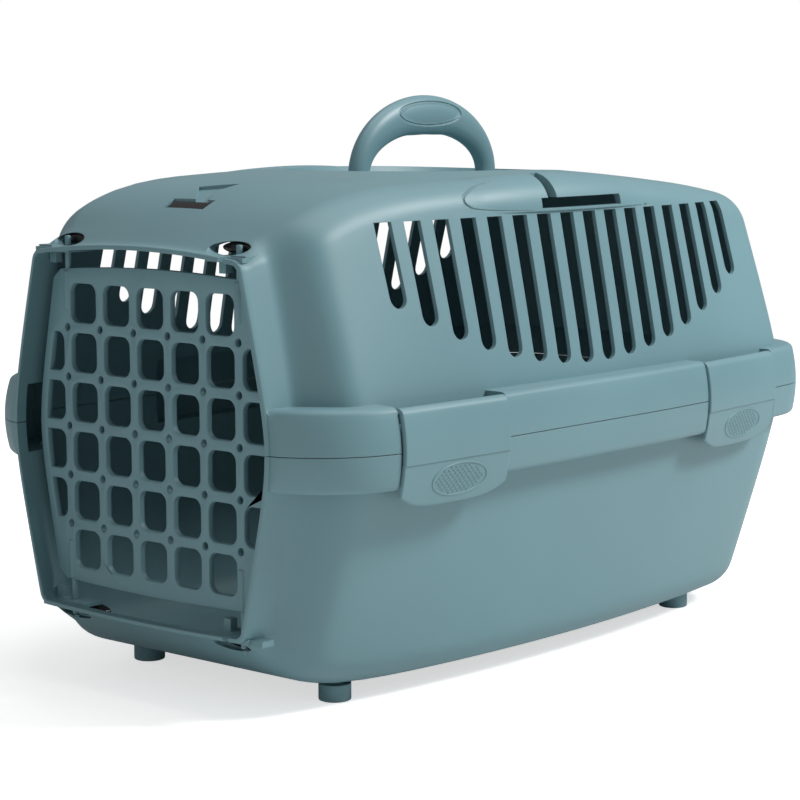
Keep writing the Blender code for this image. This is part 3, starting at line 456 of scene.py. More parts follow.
def drawn_steel(name):
    """Drawn wire: bright metal with fine lengthwise streaks in its roughness."""
    material, tree, shader = new_material(name)
    shader.inputs["Metallic"].default_value = 1.0
    where = node(tree, "ShaderNodeTexCoord").outputs["Object"]
    streaks = node(tree, "ShaderNodeMapping", {"Vector": where, "Scale": (1500.0, 60.0, 1500.0)})
    streak = noise(tree, streaks.outputs[0], 1.0, 2.0)
    tree.links.new(spread(tree, streak, 0.22, 0.48), shader.inputs["Roughness"])
    tree.links.new(spread(tree, streak, 0.48, 0.62), shader.inputs["Base Color"])
    return material


SHELL_PLASTIC = moulded_plastic("satin_shell", GREY_TEAL)
DOOR_PLASTIC = moulded_plastic("satin_door", GREY_TEAL, roughness=0.50, rub=0.30)
LATCH_PLASTIC = moulded_plastic("satin_latch", GREY_TEAL, roughness=0.45)
HANDLE_PLASTIC = moulded_plastic("polished_grip", GREY_TEAL, roughness=0.38, grain_height=0.00002, rub=0.5)
FOOT_PLASTIC = moulded_plastic("scuffed_foot", GREY_TEAL, roughness=0.55, rub=0.8, dust=0.25)
# Glossy near-black for those fills: painted shade where the openings look into the dark interior.
PAINTED_SHADE_PLASTIC = moulded_plastic("glossy_painted_shade", PAINTED_SHADE_BLACK, roughness=0.24, rub=0.1, dust=0.03)
WIRE = drawn_steel("drawn_wire")
print("materials:", [m.name for m in (SHELL_PLASTIC, DOOR_PLASTIC, LATCH_PLASTIC, HANDLE_PLASTIC, WIRE)])


# %% [markdown]
# ## The cabin's rule
# Every cross-section of the cabin is one closed outline: a crowned roof, a corner, a side that
# leans in from the seam, and the same again below. A few soft functions of t say how wide, how
# high and how round it is, so the surface can be made as fine as the eye needs.

# %% The cabin's section
INSET_LAG = 0.75
VALLEY_POWER = 2.0
SHELF_POWER = 1.2
LEAST_CORNER = 0.003
CABIN_SHARE_REACH = VALLEY_REACH * 1.4


def soft_rise(distance, reach, power):
    return 1 - math.exp(-(distance / reach) ** power) if distance > 0 else 0.0


def end_rounding(t, end, radius):
    over = t - (end - radius)
    if over <= 0:
        return 0.0
    return radius - math.sqrt(max(radius ** 2 - over ** 2, 0.0))


def end_share(t):
    return ((t - LENGTH / 2) / (LENGTH / 2)) ** 2


def rim_lip(t, inset):
    """The rim's front edge is rounded on the outside only."""
    return end_rounding(RIM_LIP - t, RIM_LIP, RIM_LIP) if inset == 0 and t < RIM_LIP else 0.0


def body_half_width(t, inset):
    rim = RIM_HALF_WIDTH + RIM_FLARE * min(max(t, 0) / VALLEY_START, 1)
    cabin = BODY_HALF_WIDTH - BODY_BULGE * end_share(t)
    rise = soft_rise(t - VALLEY_START - INSET_LAG * inset, VALLEY_REACH, VALLEY_POWER)
    rear = end_rounding(t, BODY_END - inset, REAR_PLAN_CORNER - inset)
    return rim + (cabin - rim) * rise - inset - rear - rim_lip(t, inset)


def body_top(t, inset):
    crest = ROOF_HEIGHT
    if t > ROOF_CREST:
        crest -= ROOF_FALL * ((t - ROOF_CREST) / (ROOF_SHOULDER - ROOF_CREST)) ** 2
    rise = soft_rise(t - SHELF_DEPTH - INSET_LAG * inset, ROOF_RISE_REACH, SHELF_POWER)
    rear = end_rounding(t, BODY_END - inset, REAR_EDGE_CORNER - inset)
    return RIM_TOP + (crest - RIM_TOP) * rise - inset - rear - rim_lip(t, inset)


def body_bottom(t, inset):
    drop = soft_rise(t - SHELF_DEPTH - INSET_LAG * inset, BELLY_DROP_REACH, SHELF_POWER)
    rear = end_rounding(t, BODY_END - inset, REAR_EDGE_CORNER - inset)
    return RIM_BOTTOM + (BELLY_HEIGHT - RIM_BOTTOM) * drop + inset + rear + rim_lip(t, inset)


def side_slope(t):
    cabin = SIDE_SLOPE + SIDE_SLOPE_ENDS * end_share(t)
    return RIM_SIDE_SLOPE + (cabin - RIM_SIDE_SLOPE) * soft_rise(t - VALLEY_START, VALLEY_REACH, VALLEY_POWER)


def side_x(half_width, slope, rise):
    return half_width - slope * (math.hypot(rise, SEAM_ROUNDING) - SEAM_ROUNDING)


def corner_centre_x(half_width, slope, height, corner):
    lean = math.atan(slope)
    tangent_rise = height - corner + corner * math.sin(lean)
    return side_x(half_width, slope, tangent_rise) - corner * math.cos(lean)


def quarter_profile(half_width, slope, height, corner, crown, counts):
    flat_count, corner_count, side_count = counts
    lean = math.atan(slope)
    tangent_rise = height - corner + corner * math.sin(lean)
    centre_x = corner_centre_x(half_width, slope, height, corner)
    points = []
    for i in range(flat_count):
        x = centre_x * i / flat_count
        points.append((x, height + crown * (1 - (x / centre_x) ** 2)))
    for i in range(corner_count):
        angle = math.pi / 2 + (lean - math.pi / 2) * i / corner_count
        points.append((centre_x + corner * math.cos(angle), height - corner + corner * math.sin(angle)))
    for i in range(side_count):
        rise = tangent_rise * (1 - i / side_count)
        points.append((side_x(half_width, slope, rise), rise))
    return points


def cabin_share(t):
    return soft_rise(t - SHELF_DEPTH, CABIN_SHARE_REACH, VALLEY_POWER)


def roof_corner_radius(t):
    return RIM_CORNER + (ROOF_CORNER + ROOF_CORNER_ENDS * end_share(t) - RIM_CORNER) * cabin_share(t)


def section(t, inset, counts):
    half = body_half_width(t, inset)
    slope = side_slope(t)
    share = cabin_share(t)
    belly_corner = RIM_CORNER + (BELLY_CORNER - RIM_CORNER) * share
    top_crown = RIM_TOP_CROWN + (ROOF_CROWN - RIM_TOP_CROWN) * share
    bottom_crown = RIM_BOTTOM_CROWN * (1 - share)
    top_rise = body_top(t, inset) - top_crown - SEAM_HEIGHT
    bottom_rise = SEAM_HEIGHT - body_bottom(t, inset) - bottom_crown
    roof_corner = max(roof_corner_radius(t) - inset, LEAST_CORNER)
    upper = quarter_profile(half, slope, top_rise, roof_corner, top_crown, counts)
    belly_corner = max(belly_corner - inset, LEAST_CORNER)
    lower = quarter_profile(half, slope, bottom_rise, belly_corner, bottom_crown, counts)
    right = [(x, SEAM_HEIGHT + rise) for x, rise in upper]
    right.append((half, SEAM_HEIGHT))
    right += [(x, SEAM_HEIGHT - rise) for x, rise in reversed(lower)]
    left = [(-x, z) for x, z in reversed(right[1:-1])]
    return [(x, FRONT + t, z) for x, z in right + left]


# %% The cabin as a solid
CLOSE_END = 0.070
REAR_SWEEP = 86
RIM_OVERCUT = 0.004


def body_stations(inset):
    """Close together where the surface turns quickly: at the rim, in the valley and round the rear."""
    lip = [0.0, RIM_LIP * 0.13, RIM_LIP * 0.5, RIM_LIP]
    valley = [RIM_LIP + (CLOSE_END - RIM_LIP) * i / (14 * DETAIL) for i in range(1, 14 * DETAIL + 1)]
    far_start = BODY_END - REAR_PLAN_CORNER
    middle = [CLOSE_END + (far_start - CLOSE_END) * i / (10 * DETAIL) for i in range(1, 10 * DETAIL + 1)]
    radius = REAR_PLAN_CORNER - inset
    steps = 7 * DETAIL
    rear = [far_start + radius * math.sin(math.radians(REAR_SWEEP * i / steps)) for i in range(1, steps + 1)]
    return lip + valley + middle + rear


def body_solid(name, inset):
    counts = (5 * DETAIL, 5 * DETAIL, 7 * DETAIL)
    rings = [section(t, inset, counts) for t in body_stations(inset)]
    if inset > 0:
        rings[0] = [(x, y - RIM_OVERCUT, z) for x, y, z in rings[0]]
    return loft(name, rings)


# %% [markdown]
# ## The band
# A hollow bumper runs round the carrier at the seam. Its face is bowed, widest at the seam line,
# and its upper and lower edges are rounded.

# %% The band as a solid
FLARE_END = 0.095
FLARE_POWER = 1.6
BAND_REAR_SWEEP = 88
EDGE_SHRINK = 0.9


def band_half_width(t, inset):
    flare = soft_rise(t - INSET_LAG * inset, BAND_FLARE, 1.0)
    half = BAND_START_HALF + (BAND_HALF_WIDTH - BAND_START_HALF) * flare
    middle = LENGTH / 2
    if t > middle:
        half -= BAND_TAPER * ((t - middle) / (LENGTH - BAND_REAR_CORNER - middle)) ** 2
    return half - inset - end_rounding(t, LENGTH - inset, BAND_REAR_CORNER - inset)


def band_bow(z):
    return BAND_BOW * ((z - SEAM_HEIGHT) / BAND_ABOVE) ** 2


def band_outline(inset, start):
    corner_start = LENGTH - BAND_REAR_CORNER
    radius = BAND_REAR_CORNER - inset
    flare_steps, side_steps, corner_steps = 10 * DETAIL, 8 * DETAIL, 8 * DETAIL
    ts = [start + (FLARE_END - start) * (i / flare_steps) ** FLARE_POWER for i in range(flare_steps + 1)]
    ts += [FLARE_END + (corner_start - FLARE_END) * i / side_steps for i in range(1, side_steps + 1)]
    ts += [corner_start + radius * math.sin(math.radians(BAND_REAR_SWEEP * i / corner_steps))
           for i in range(1, corner_steps + 1)]
    right = [(band_half_width(t, inset), FRONT + t) for t in ts]
    return right + [(-x, y) for x, y in reversed(right)]


def band_solid(name, inset, start):
    low = SEAM_HEIGHT - BAND_BELOW + inset
    high = SEAM_HEIGHT + BAND_ABOVE - inset
    edge = BAND_EDGE - inset * EDGE_SHRINK
    steps = 3 * DETAIL
    levels = []
    for i in range(steps + 1):
        angle = math.pi / 2 * i / steps
        levels.append((low + edge * (1 - math.cos(angle)), edge * (1 - math.sin(angle))))
    flat_steps = 6 * DETAIL
    levels += [(low + edge + (high - low - 2 * edge) * i / flat_steps, 0) for i in range(1, flat_steps)]
    for i in range(steps + 1):
        angle = math.pi / 2 * (1 - i / steps)
        levels.append((high - edge * (1 - math.cos(angle)), edge * (1 - math.sin(angle))))
    return loft(name, [[(x, y, z) for x, y in band_outline(inset + draw + band_bow(z), start)]
                       for z, draw in levels])


# %% [markdown]
# ## Where the latches hang
# Each latch turns on a wire pin inside the band. The frame's joint gives the pin's middle and its
# direction, so the latch, its pocket and its catch are all placed from the joint.

# %% Latch places
LATCH_WIDTH = 0.0835
LATCH_SIDE_GAP = 0.0012
LATCH_PIVOT_DEPTH = 0.0064
LATCH_PIVOT_HEIGHT = 0.1675
POCKET_REACH = 0.03
POCKET_HALF_HEIGHT = 0.05
LATCH_PLACES = ("front_right", "rear_right", "front_left", "rear_left")


def latch_frame(place_name):
    """X along the band, Y outwards, Z up, with its origin on the band's face line at floor height."""
    joint = joints[place_name + "_latch_swing"]
    middle = Vector(joint["pos_m"])
    side = 1 if middle.x > 0 else -1
    along = Vector(joint["axis"])
    if along.y < 0:
        along = -along
    outward = Vector((along.y, -along.x, 0)) * side
    origin = middle + outward * LATCH_PIVOT_DEPTH
    return Matrix(((along.x, outward.x, 0, origin.x), (along.y, outward.y, 0, origin.y),
                   (0, 0, 1, 0), (0, 0, 0, 1)))


LATCH_FRAMES = {name: latch_frame(name) for name in LATCH_PLACES}


def pocket(name, latch_place, margin):
    half = LATCH_WIDTH / 2 + LATCH_SIDE_GAP + margin
    box = block(name, (-half, -BAND_STANDOFF - POCKET_REACH, SEAM_HEIGHT - POCKET_HALF_HEIGHT),
                (half, POCKET_REACH, SEAM_HEIGHT + POCKET_HALF_HEIGHT))
    return place(box, latch_place)


# %% [markdown]
# ## The vents
# Sixteen slots run down each side: level at the top, round at the bottom, and longest in the
# middle. One bar with a round lower end is the pattern. A Geometry Nodes tree sets copies along a
# line, drops each to its place on an arc, and lifts every top to the same level.

# %% Vent bars
VENT_COUNT = 16
VENT_PITCH = 0.02125
VENT_WIDTH = 0.0122
VENT_TOP = 0.2685
VENT_LOWEST = 0.181
VENT_ARC_RADIUS = 0.330
VENT_END_STEPS = 8
VENT_OVERCUT = 0.02
BAR_STUB = 0.001


def vent_tree():
    tree, given, out = new_tree("side_vents", {
        "Count": "Int", "Pitch": "Float", "Width": "Float", "Top": "Float", "Lowest": "Float",
        "Arc Radius": "Float", "Material": "Material"})
    sizes = given.outputs
    split = node(tree, "ShaderNodeSeparateXYZ", {0: node(tree, "GeometryNodeInputPosition").outputs[0]})
    is_top = maths(tree, "GREATER_THAN", split.outputs["Z"], 0.0)
    marked = node(tree, "GeometryNodeStoreNamedAttribute", {"Geometry": sizes["Geometry"], "Name": "top",
                                                            "Value": is_top}, data_type="FLOAT")
    first = maths(tree, "MULTIPLY", maths(tree, "SUBTRACT", sizes["Count"], 1.0),
                  maths(tree, "MULTIPLY", sizes["Pitch"], -0.5))
    start = node(tree, "ShaderNodeCombineXYZ", {"Y": first})
    step = node(tree, "ShaderNodeCombineXYZ", {"Y": sizes["Pitch"]})
    line = node(tree, "GeometryNodeMeshLine", {"Count": sizes["Count"], "Start Location": start.outputs[0],
                                               "Offset": step.outputs[0]})
    squared = maths(tree, "MULTIPLY", split.outputs["Y"], split.outputs["Y"])
    radius_squared = maths(tree, "MULTIPLY", sizes["Arc Radius"], sizes["Arc Radius"])
    sagitta = maths(tree, "SUBTRACT", sizes["Arc Radius"],
                    maths(tree, "SQRT", maths(tree, "SUBTRACT", radius_squared, squared)))
    level = maths(tree, "ADD", maths(tree, "ADD", sizes["Lowest"], sagitta),
                  maths(tree, "MULTIPLY", sizes["Width"], 0.5))
    drop = node(tree, "ShaderNodeCombineXYZ", {"Z": level})
    on_arc = node(tree, "GeometryNodeSetPosition", {"Geometry": line.outputs[0], "Offset": drop.outputs[0]})
    bars = node(tree, "GeometryNodeInstanceOnPoints", {"Points": on_arc.outputs[0],
                                                       "Instance": marked.outputs[0]})
    real = node(tree, "GeometryNodeRealizeInstances", {"Geometry": bars.outputs[0]})
    mark = node(tree, "GeometryNodeInputNamedAttribute", {"Name": "top"}, data_type="FLOAT")
    chosen = node(tree, "FunctionNodeCompare", {"A": mark.outputs["Attribute"], "B": 0.5},
                  data_type="FLOAT", operation="GREATER_THAN")
    lifted_to = node(tree, "ShaderNodeCombineXYZ", {"X": split.outputs["X"], "Y": split.outputs["Y"],
                                                    "Z": sizes["Top"]})
    lifted = node(tree, "GeometryNodeSetPosition", {"Geometry": real.outputs[0],
                                                    "Selection": chosen.outputs[0],
                                                    "Position": lifted_to.outputs[0]})
    return paint_and_end(tree, lifted, sizes, out)


def vent_bar():
    """One bar across the whole carrier, with its round end centred on the X axis."""
    radius = VENT_WIDTH / 2
    outline = [(radius, BAR_STUB), (-radius, BAR_STUB)]
    for i in range(VENT_END_STEPS + 1):
        angle = math.pi * i / VENT_END_STEPS
        outline.append((-radius * math.cos(angle), -radius * math.sin(angle)))
    reach = BAND_HALF_WIDTH + VENT_OVERCUT
    return loft("vents", [[(x, y, z) for y, z in outline] for x in (-reach, reach)])


def vent_cutter():
    bars = run_tree(vent_bar(), vent_tree(), {
        "Count": VENT_COUNT, "Pitch": VENT_PITCH, "Width": VENT_WIDTH, "Top": VENT_TOP,
        "Lowest": VENT_LOWEST, "Arc Radius": VENT_ARC_RADIUS, "Material": SHELL_PLASTIC})
    print("vents:", VENT_COUNT, "bars,", len(bars.data.polygons), "faces")
    return bars


# %% [markdown]
# ## Handle tray, strap guides and pin seats
# An oval tray sinks the folded handle into the roof. Each shoulder carries a lens-shaped pad with
# a T-shaped strap guide, and a smaller guide sits over the door. At the rim's corners a ledge,
# a lens-shaped opening, a post and a tab hold the door's pins.

# %% Shapes on and in the shells
RECESS_HALF_LENGTH = 0.100
RECESS_HALF_WIDTH = 0.060
RECESS_FLOOR = 0.2755
RECESS_SLOPE = 0.012
HANDLE_OUTER_SPAN = 0.067
HANDLE_SIDE_GAP = 0.0008
LUG_THICKNESS = 0.007
LUG_HALF_WIDTH = 0.0065
LUG_TOP = 0.0055
HANDLE_PIN_RADIUS = 0.0025
FIT_GAP = 0.0003
SUNK = 0.001
GUIDE_PAD_PROUD = 0.0024
GUIDE_PAD_SUNK = 0.0005
GUIDE_PAD_HALF_LENGTH = 0.081
GUIDE_PAD_MIDDLE = -0.005
GUIDE_SLOT_LENGTH = 0.077
GUIDE_SLOT_MIDDLE = 0.0045
GUIDE_SLOT_BOTTOM = 0.2715
GUIDE_SLOT_TOP = 0.2775
GUIDE_CHANNEL_WIDTH = 0.008
GUIDE_CHANNEL_Y = -0.024
GUIDE_DEPTH = 0.016
GUIDE_WALL_INSET = 0.020
GUIDE_SLOT_REACH = 0.045
GUIDE_CHANNEL_INSET = 0.004
PAD_BELOW_SLOT = 0.0015
ABOVE_ROOF = ROOF_HEIGHT + 0.01


def oval_tray(name, margin):
    rings = []
    for z, spread_out in ((RECESS_FLOOR - margin, 0), (ABOVE_ROOF, RECESS_SLOPE)):
        rings.append([((RECESS_HALF_WIDTH + margin + spread_out) * math.cos(turn),
                       (RECESS_HALF_LENGTH + margin + spread_out) * math.sin(turn), z)
                      for turn in turns(64 * DETAIL)])
    return loft(name, rings)


def guide_pad(side):
    """A lens along the shoulder, thickest in its middle."""
    rings = []
    steps = 20 * DETAIL
    for i in range(steps + 1):
        share = -1 + 2 * i / steps
        t = GUIDE_PAD_MIDDLE + share * GUIDE_PAD_HALF_LENGTH - FRONT
        corner = roof_corner_radius(t)
        rise = body_top(t, 0) - ROOF_CROWN - SEAM_HEIGHT
        x = corner_centre_x(body_half_width(t, 0), side_slope(t), rise, corner)
        z = SEAM_HEIGHT + rise - corner
        radius = corner + (GUIDE_PAD_PROUD + GUIDE_PAD_SUNK) * (1 - share ** 2) - GUIDE_PAD_SUNK
        rings.append([(side * (x + radius * math.cos(turn)), FRONT + t,
                       max(z + radius * math.sin(turn), GUIDE_SLOT_BOTTOM - PAD_BELOW_SLOT))
                      for turn in turns(32 * DETAIL)])
    return loft("guide_pad", rings)


def shoulder_guide(side):
    wide = body_half_width(LENGTH / 2, 0)
    xs = sorted((side * (wide - GUIDE_SLOT_REACH), side * BAND_HALF_WIDTH))
    near = GUIDE_SLOT_MIDDLE - GUIDE_SLOT_LENGTH / 2
    slot = block("guide_slot", (xs[0], near, GUIDE_SLOT_BOTTOM),
                 (xs[1], near + GUIDE_SLOT_LENGTH, GUIDE_SLOT_TOP))
    xs = sorted((side * (wide - GUIDE_WALL_INSET - GUIDE_DEPTH),
                 side * (BAND_HALF_WIDTH - GUIDE_CHANNEL_INSET)))
    half = GUIDE_CHANNEL_WIDTH / 2
    channel = block("guide_channel", (xs[0], GUIDE_CHANNEL_Y - half, GUIDE_SLOT_BOTTOM + SUNK),
                    (xs[1], GUIDE_CHANNEL_Y + half, ABOVE_ROOF))
    boolean(slot, channel, "UNION")
    return slot


FRONT_GUIDE_WIDTH = 0.033
FRONT_GUIDE_X = 0.0025
FRONT_GUIDE_NEAR = 0.036
FRONT_GUIDE_FAR = 0.046
FACET_CORNERS = ((-0.0125, -0.1800, 0.2853), (0.0115, -0.1710, 0.2872), (0.0080, -0.1850, 0.2835),
                 (0.0134, -0.1982, 0.2793), (0.0040, -0.1990, 0.2790))
FACET_SINK = 0.0015
FACET_OVERCUT = 0.01
FRONT_SLOT_ABOVE_RIM = 0.004


def front_guide():
    """The slot over the door, and the shallow facet that leads a strap into it."""
    half = FRONT_GUIDE_WIDTH / 2
    low = RIM_TOP + FRONT_SLOT_ABOVE_RIM
    slot = block("front_slot", (FRONT_GUIDE_X - half, FRONT + FRONT_GUIDE_NEAR, low),
                 (FRONT_GUIDE_X + half, FRONT + FRONT_GUIDE_FAR, ABOVE_ROOF))
    facet = loft("front_facet", [[(x, y, z + lift) for x, y, z in FACET_CORNERS]
                                 for lift in (-FACET_SINK, FACET_OVERCUT)])
    boolean(slot, facet, "UNION")
    return slot


# %% Engraved nose of the shoulder pad
NOSE_POINTS = ((-0.0663, 0.2880, 0.0002), (-0.0784, 0.2859, 0.0006), (-0.0876, 0.2834, 0.0008),
               (-0.0945, 0.2803, 0.0009), (-0.0957, 0.2775, 0.0009), (-0.0935, 0.2750, 0.0008),
               (-0.0880, 0.2730, 0.0006), (-0.0687, 0.2714, 0.0004), (-0.0425, 0.2707, 0.0002))


def smooth_values(rows, steps):
    """Values between the rows, on a curve that passes through each of them."""
    out = []
    last = len(rows) - 1
    for i in range(last):
        around = [rows[min(max(i + k, 0), last)] for k in (-1, 0, 1, 2)]
        for k in range(steps):
            u = k / steps
            out.append([b + 0.5 * u * (c - a + u * (2 * a - 5 * b + 4 * c - d + u * (3 * (b - c) + d - a)))
                        for a, b, c, d in zip(*around)])
    out.append(rows[-1])
    return out


def nose_groove(outer, side):
    rows = smooth_values(NOSE_POINTS, 4 * DETAIL)
    path = [on_surface(outer, side, y, z) for y, z, _ in rows]
    return bar_along("nose_groove", path, Vector((side, 0, 0.6)), [radius for _, _, radius in rows])


def handle_lug(side):
    inner = HANDLE_OUTER_SPAN + HANDLE_SIDE_GAP
    ys = sorted((side * inner, side * (inner + LUG_THICKNESS)))
    return block("handle_lug", (-LUG_HALF_WIDTH, ys[0], RECESS_FLOOR - SUNK),
                 (LUG_HALF_WIDTH, ys[1], HANDLE_PIVOT_HEIGHT + LUG_TOP))


# %% Pin seats at the rim's corners
LEDGE_DEPTH = 0.022
LEDGE_HALF_WIDTH = 0.014
OPENING_HALF_WIDTH = 0.0135
OPENING_HALF_HEIGHT = 0.0036
OPENING_OFFSET = 0.005
TAB_START = 0.003
TAB_REACH = 0.014
LOCK_TAB_REACH = 0.023
TAB_NEAR = 0.005
TAB_FAR = 0.014
TAB_THICKNESS = 0.0035
POST_OFFSET = 0.0105
POST_HALF = 0.0026
POST_HEIGHT = 0.007
PIN_RADIUS = 0.0018
PIN_CLEARANCE = 0.0004
OPENING_RISE = OPENING_HALF_HEIGHT + 0.0004
OPENING_NEAR = SHELF_DEPTH - 0.0015
CROWN_SHARE = 0.75
HOLE_REACH = 0.012
HOLE_STEPS = 16
RIM_CLEARANCE = 0.005
CORNERS = [(side, upper) for side in (1, -1) for upper in (True, False)]


def rim_level(upper):
    fall = (PIN_X / (RIM_HALF_WIDTH * CROWN_SHARE)) ** 2
    return RIM_TOP - RIM_TOP_CROWN * fall if upper else RIM_BOTTOM + RIM_BOTTOM_CROWN * fall


def opening_middle(side, upper):
    rise = OPENING_RISE if upper else -OPENING_RISE
    return Matrix.Translation((side * (PIN_X - OPENING_OFFSET), 0, rim_level(upper) + rise))


def pin_opening(side, upper):
    lens = rod("pin_opening", (0, FRONT + OPENING_NEAR, 0), (0, FRONT + LEDGE_DEPTH * 2, 0), 1.0, segments=40)
    lens.data.transform(Matrix.Diagonal((OPENING_HALF_WIDTH, 1, OPENING_HALF_HEIGHT, 1)))
    lens.data.transform(opening_middle(side, upper))
    return lens


def ledge(side, upper):
    level = rim_level(upper)
    low = level - WALL if upper else level
    x = side * PIN_X
    return block("ledge", (x - LEDGE_HALF_WIDTH, FRONT + SHELF_DEPTH / 2, low),
                 (x + LEDGE_HALF_WIDTH, FRONT + LEDGE_DEPTH, low + WALL))


def guide_post(side, upper):
    level = rim_level(upper)
    tall = WALL + POST_HEIGHT - SUNK
    low = level - SUNK - tall if upper else level + SUNK
    x = side * PIN_X - POST_OFFSET
    return block("guide_post", (x - POST_HALF, DOOR_Y - POST_HALF, low),
                 (x + POST_HALF, DOOR_Y + POST_HALF, low + tall))


def corner_tab(side, upper):
    level = rim_level(upper)
    reach = LOCK_TAB_REACH if side > 0 and not upper else TAB_REACH
    xs = sorted((side * (PIN_X + TAB_START), side * (PIN_X + reach)))
    low = level - TAB_THICKNESS + SUNK if upper else level - SUNK
    return block("corner_tab", (xs[0], FRONT + TAB_NEAR, low),
                 (xs[1], FRONT + TAB_FAR, low + TAB_THICKNESS))


def pin_hole(side, upper):
    """A round bore on the hinge side; a bore that is open to the front on the lock side."""
    level = rim_level(upper)
    radius = PIN_RADIUS + PIN_CLEARANCE
    angles = [math.pi * i / HOLE_STEPS for i in range(HOLE_STEPS + 1)]
    outline = [(side * PIN_X + radius * math.cos(angle), DOOR_Y + radius * math.sin(angle))
               for angle in angles]
    if side > 0:
        outline += [(PIN_X - radius, FRONT - RIM_CLEARANCE), (PIN_X + radius, FRONT - RIM_CLEARANCE)]
    else:
        outline += [(2 * side * PIN_X - x, 2 * DOOR_Y - y) for x, y in outline[1:-1]]
    return loft("pin_hole", [[(x, y, z) for x, y in outline]
                             for z in (level - HOLE_REACH, level + HOLE_REACH)])


# %% [markdown]
# ## The two shells
# The shells come from one outer solid: cabin, band, pads and catches, less the tray and guides. It
# is split at the seam, each half is hollowed by the same rule set in by the wall, and the
# vents and bores are cut last, through the thin wall.

# %% Build both shells
BEAD_HEIGHT = 0.1265
BEAD_HALF = 0.0022
BEAD_REACH = 0.0080
CATCH_CLEARANCE = 0.0006
CATCH_HALF_WIDTH = 0.024
CATCH_HEIGHT = 0.0044
CATCH_RISE = 0.001
BORE_OVERRUN = 0.006
BAND_HOLLOW_START = 0.008
BELOW_FLOOR = -0.1
FOOT_HOLE_BELOW = 0.004
FOOT_HOLE_ABOVE = 0.02
LATCH_PIN_RADIUS = 0.0012
FOOT_SPIGOT_RADIUS = 0.004
FOOT_PLACES = [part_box(f"foot_{end}_{side}") for end in ("front", "rear") for side in ("left", "right")]


def catch_rib(latch_place):
    low = BEAD_HEIGHT + BEAD_HALF + CATCH_RISE
    rib = block("catch", (-CATCH_HALF_WIDTH, -BAND_STANDOFF * 2, low),
                (CATCH_HALF_WIDTH, -BEAD_REACH - CATCH_CLEARANCE, low + CATCH_HEIGHT))
    return place(rib, latch_place)


def latch_bore(latch_place):
    half = LATCH_WIDTH / 2 + BORE_OVERRUN
    ends = [latch_place @ Vector((x, -LATCH_PIVOT_DEPTH, LATCH_PIVOT_HEIGHT)) for x in (-half, half)]
    return rod("latch_bore", ends[0], ends[1], LATCH_PIN_RADIUS + FIT_GAP, segments=16)


def outer_solid():
    outer = body_solid("outer", 0.0)
    band = band_solid("band", 0.0, BAND_START)
    for latch_place in LATCH_FRAMES.values():
        boolean(band, pocket("pocket", latch_place, 0.0), "DIFFERENCE")
    boolean(outer, band, "UNION")
    added = [guide_pad(1), guide_pad(-1)]
    added += [catch_rib(latch_place) for latch_place in LATCH_FRAMES.values()]
    added += [corner_tab(side, upper) for side, upper in CORNERS]
    boolean(outer, gathered("added", added), "UNION")
    removed = [oval_tray("tray", 0.0), shoulder_guide(1), shoulder_guide(-1), front_guide()]
    removed += [pin_opening(side, upper) for side, upper in CORNERS]
    boolean(outer, gathered("removed", removed), "DIFFERENCE")
    boolean(outer, gathered("lugs", [handle_lug(1), handle_lug(-1)]), "UNION")
    bpy.context.view_layer.update()
    boolean(outer, gathered("noses", [nose_groove(outer, side) for side in (1, -1)]), "DIFFERENCE")
    return outer


def hollow_solid():
    inner = body_solid("inner", WALL)
    hollow = band_solid("band_hollow", WALL, BAND_HOLLOW_START)
    for latch_place in LATCH_FRAMES.values():
        boolean(hollow, pocket("pocket_wall", latch_place, WALL), "DIFFERENCE")
    boolean(inner, hollow, "UNION")
    boolean(inner, oval_tray("tray_wall", WALL), "DIFFERENCE")
    return inner


def shell_half(name, outer, inner, upper):
    shell = new_object(name, outer.data.copy())
    low = SEAM_HEIGHT + SHELL_GAP / 2 if upper else BELOW_FLOOR
    high = ROOF_HEIGHT * 2 if upper else SEAM_HEIGHT - SHELL_GAP / 2
    boolean(shell, block("half", (-LENGTH, -LENGTH, low), (LENGTH, LENGTH, high)), "INTERSECT")
    boolean(shell, inner, "DIFFERENCE", keep_tool=True)
    boolean(shell, gathered("ledges", [ledge(side, upper) for side in (1, -1)]), "UNION")
    boolean(shell, gathered("posts", [guide_post(side, upper) for side in (1, -1)]), "UNION")
    cuts = [pin_hole(side, upper) for side in (1, -1)]
    if upper:
        reach = HANDLE_OUTER_SPAN + HANDLE_SIDE_GAP + LUG_THICKNESS + SUNK
        cuts.append(rod("handle_bore", (0, -reach, HANDLE_PIVOT_HEIGHT), (0, reach, HANDLE_PIVOT_HEIGHT),
                        HANDLE_PIN_RADIUS + FIT_GAP, segments=24))
        cuts += [latch_bore(latch_place) for latch_place in LATCH_FRAMES.values()]
        cuts.append(vent_cutter())
    else:
        for low, high in FOOT_PLACES:
            x, y = plan_middle(low, high)
            ends = [(x, y, BELLY_HEIGHT - FOOT_HOLE_BELOW), (x, y, BELLY_HEIGHT + FOOT_HOLE_ABOVE)]
            cuts.append(rod("foot_hole", *ends, FOOT_SPIGOT_RADIUS + FIT_GAP, segments=24))
    boolean(shell, gathered("cuts", cuts), "DIFFERENCE")
    return finish_surface(shell, SHELL_PLASTIC)


outer = outer_solid()
inner = hollow_solid()
upper_shell = shell_half("upper_shell_moulding", outer, inner, True)
lower_shell = shell_half("lower_shell_moulding", outer, inner, False)
bpy.data.objects.remove(outer, do_unlink=True)
bpy.data.objects.remove(inner, do_unlink=True)
for shell, body, cad_node in ((upper_shell, "upper_shell", "top_shell"),
                              (lower_shell, "lower_shell", "bottom_shell")):
    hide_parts(cad_node)
    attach(shell, body)
    print(shell.name, len(shell.data.polygons), "faces")
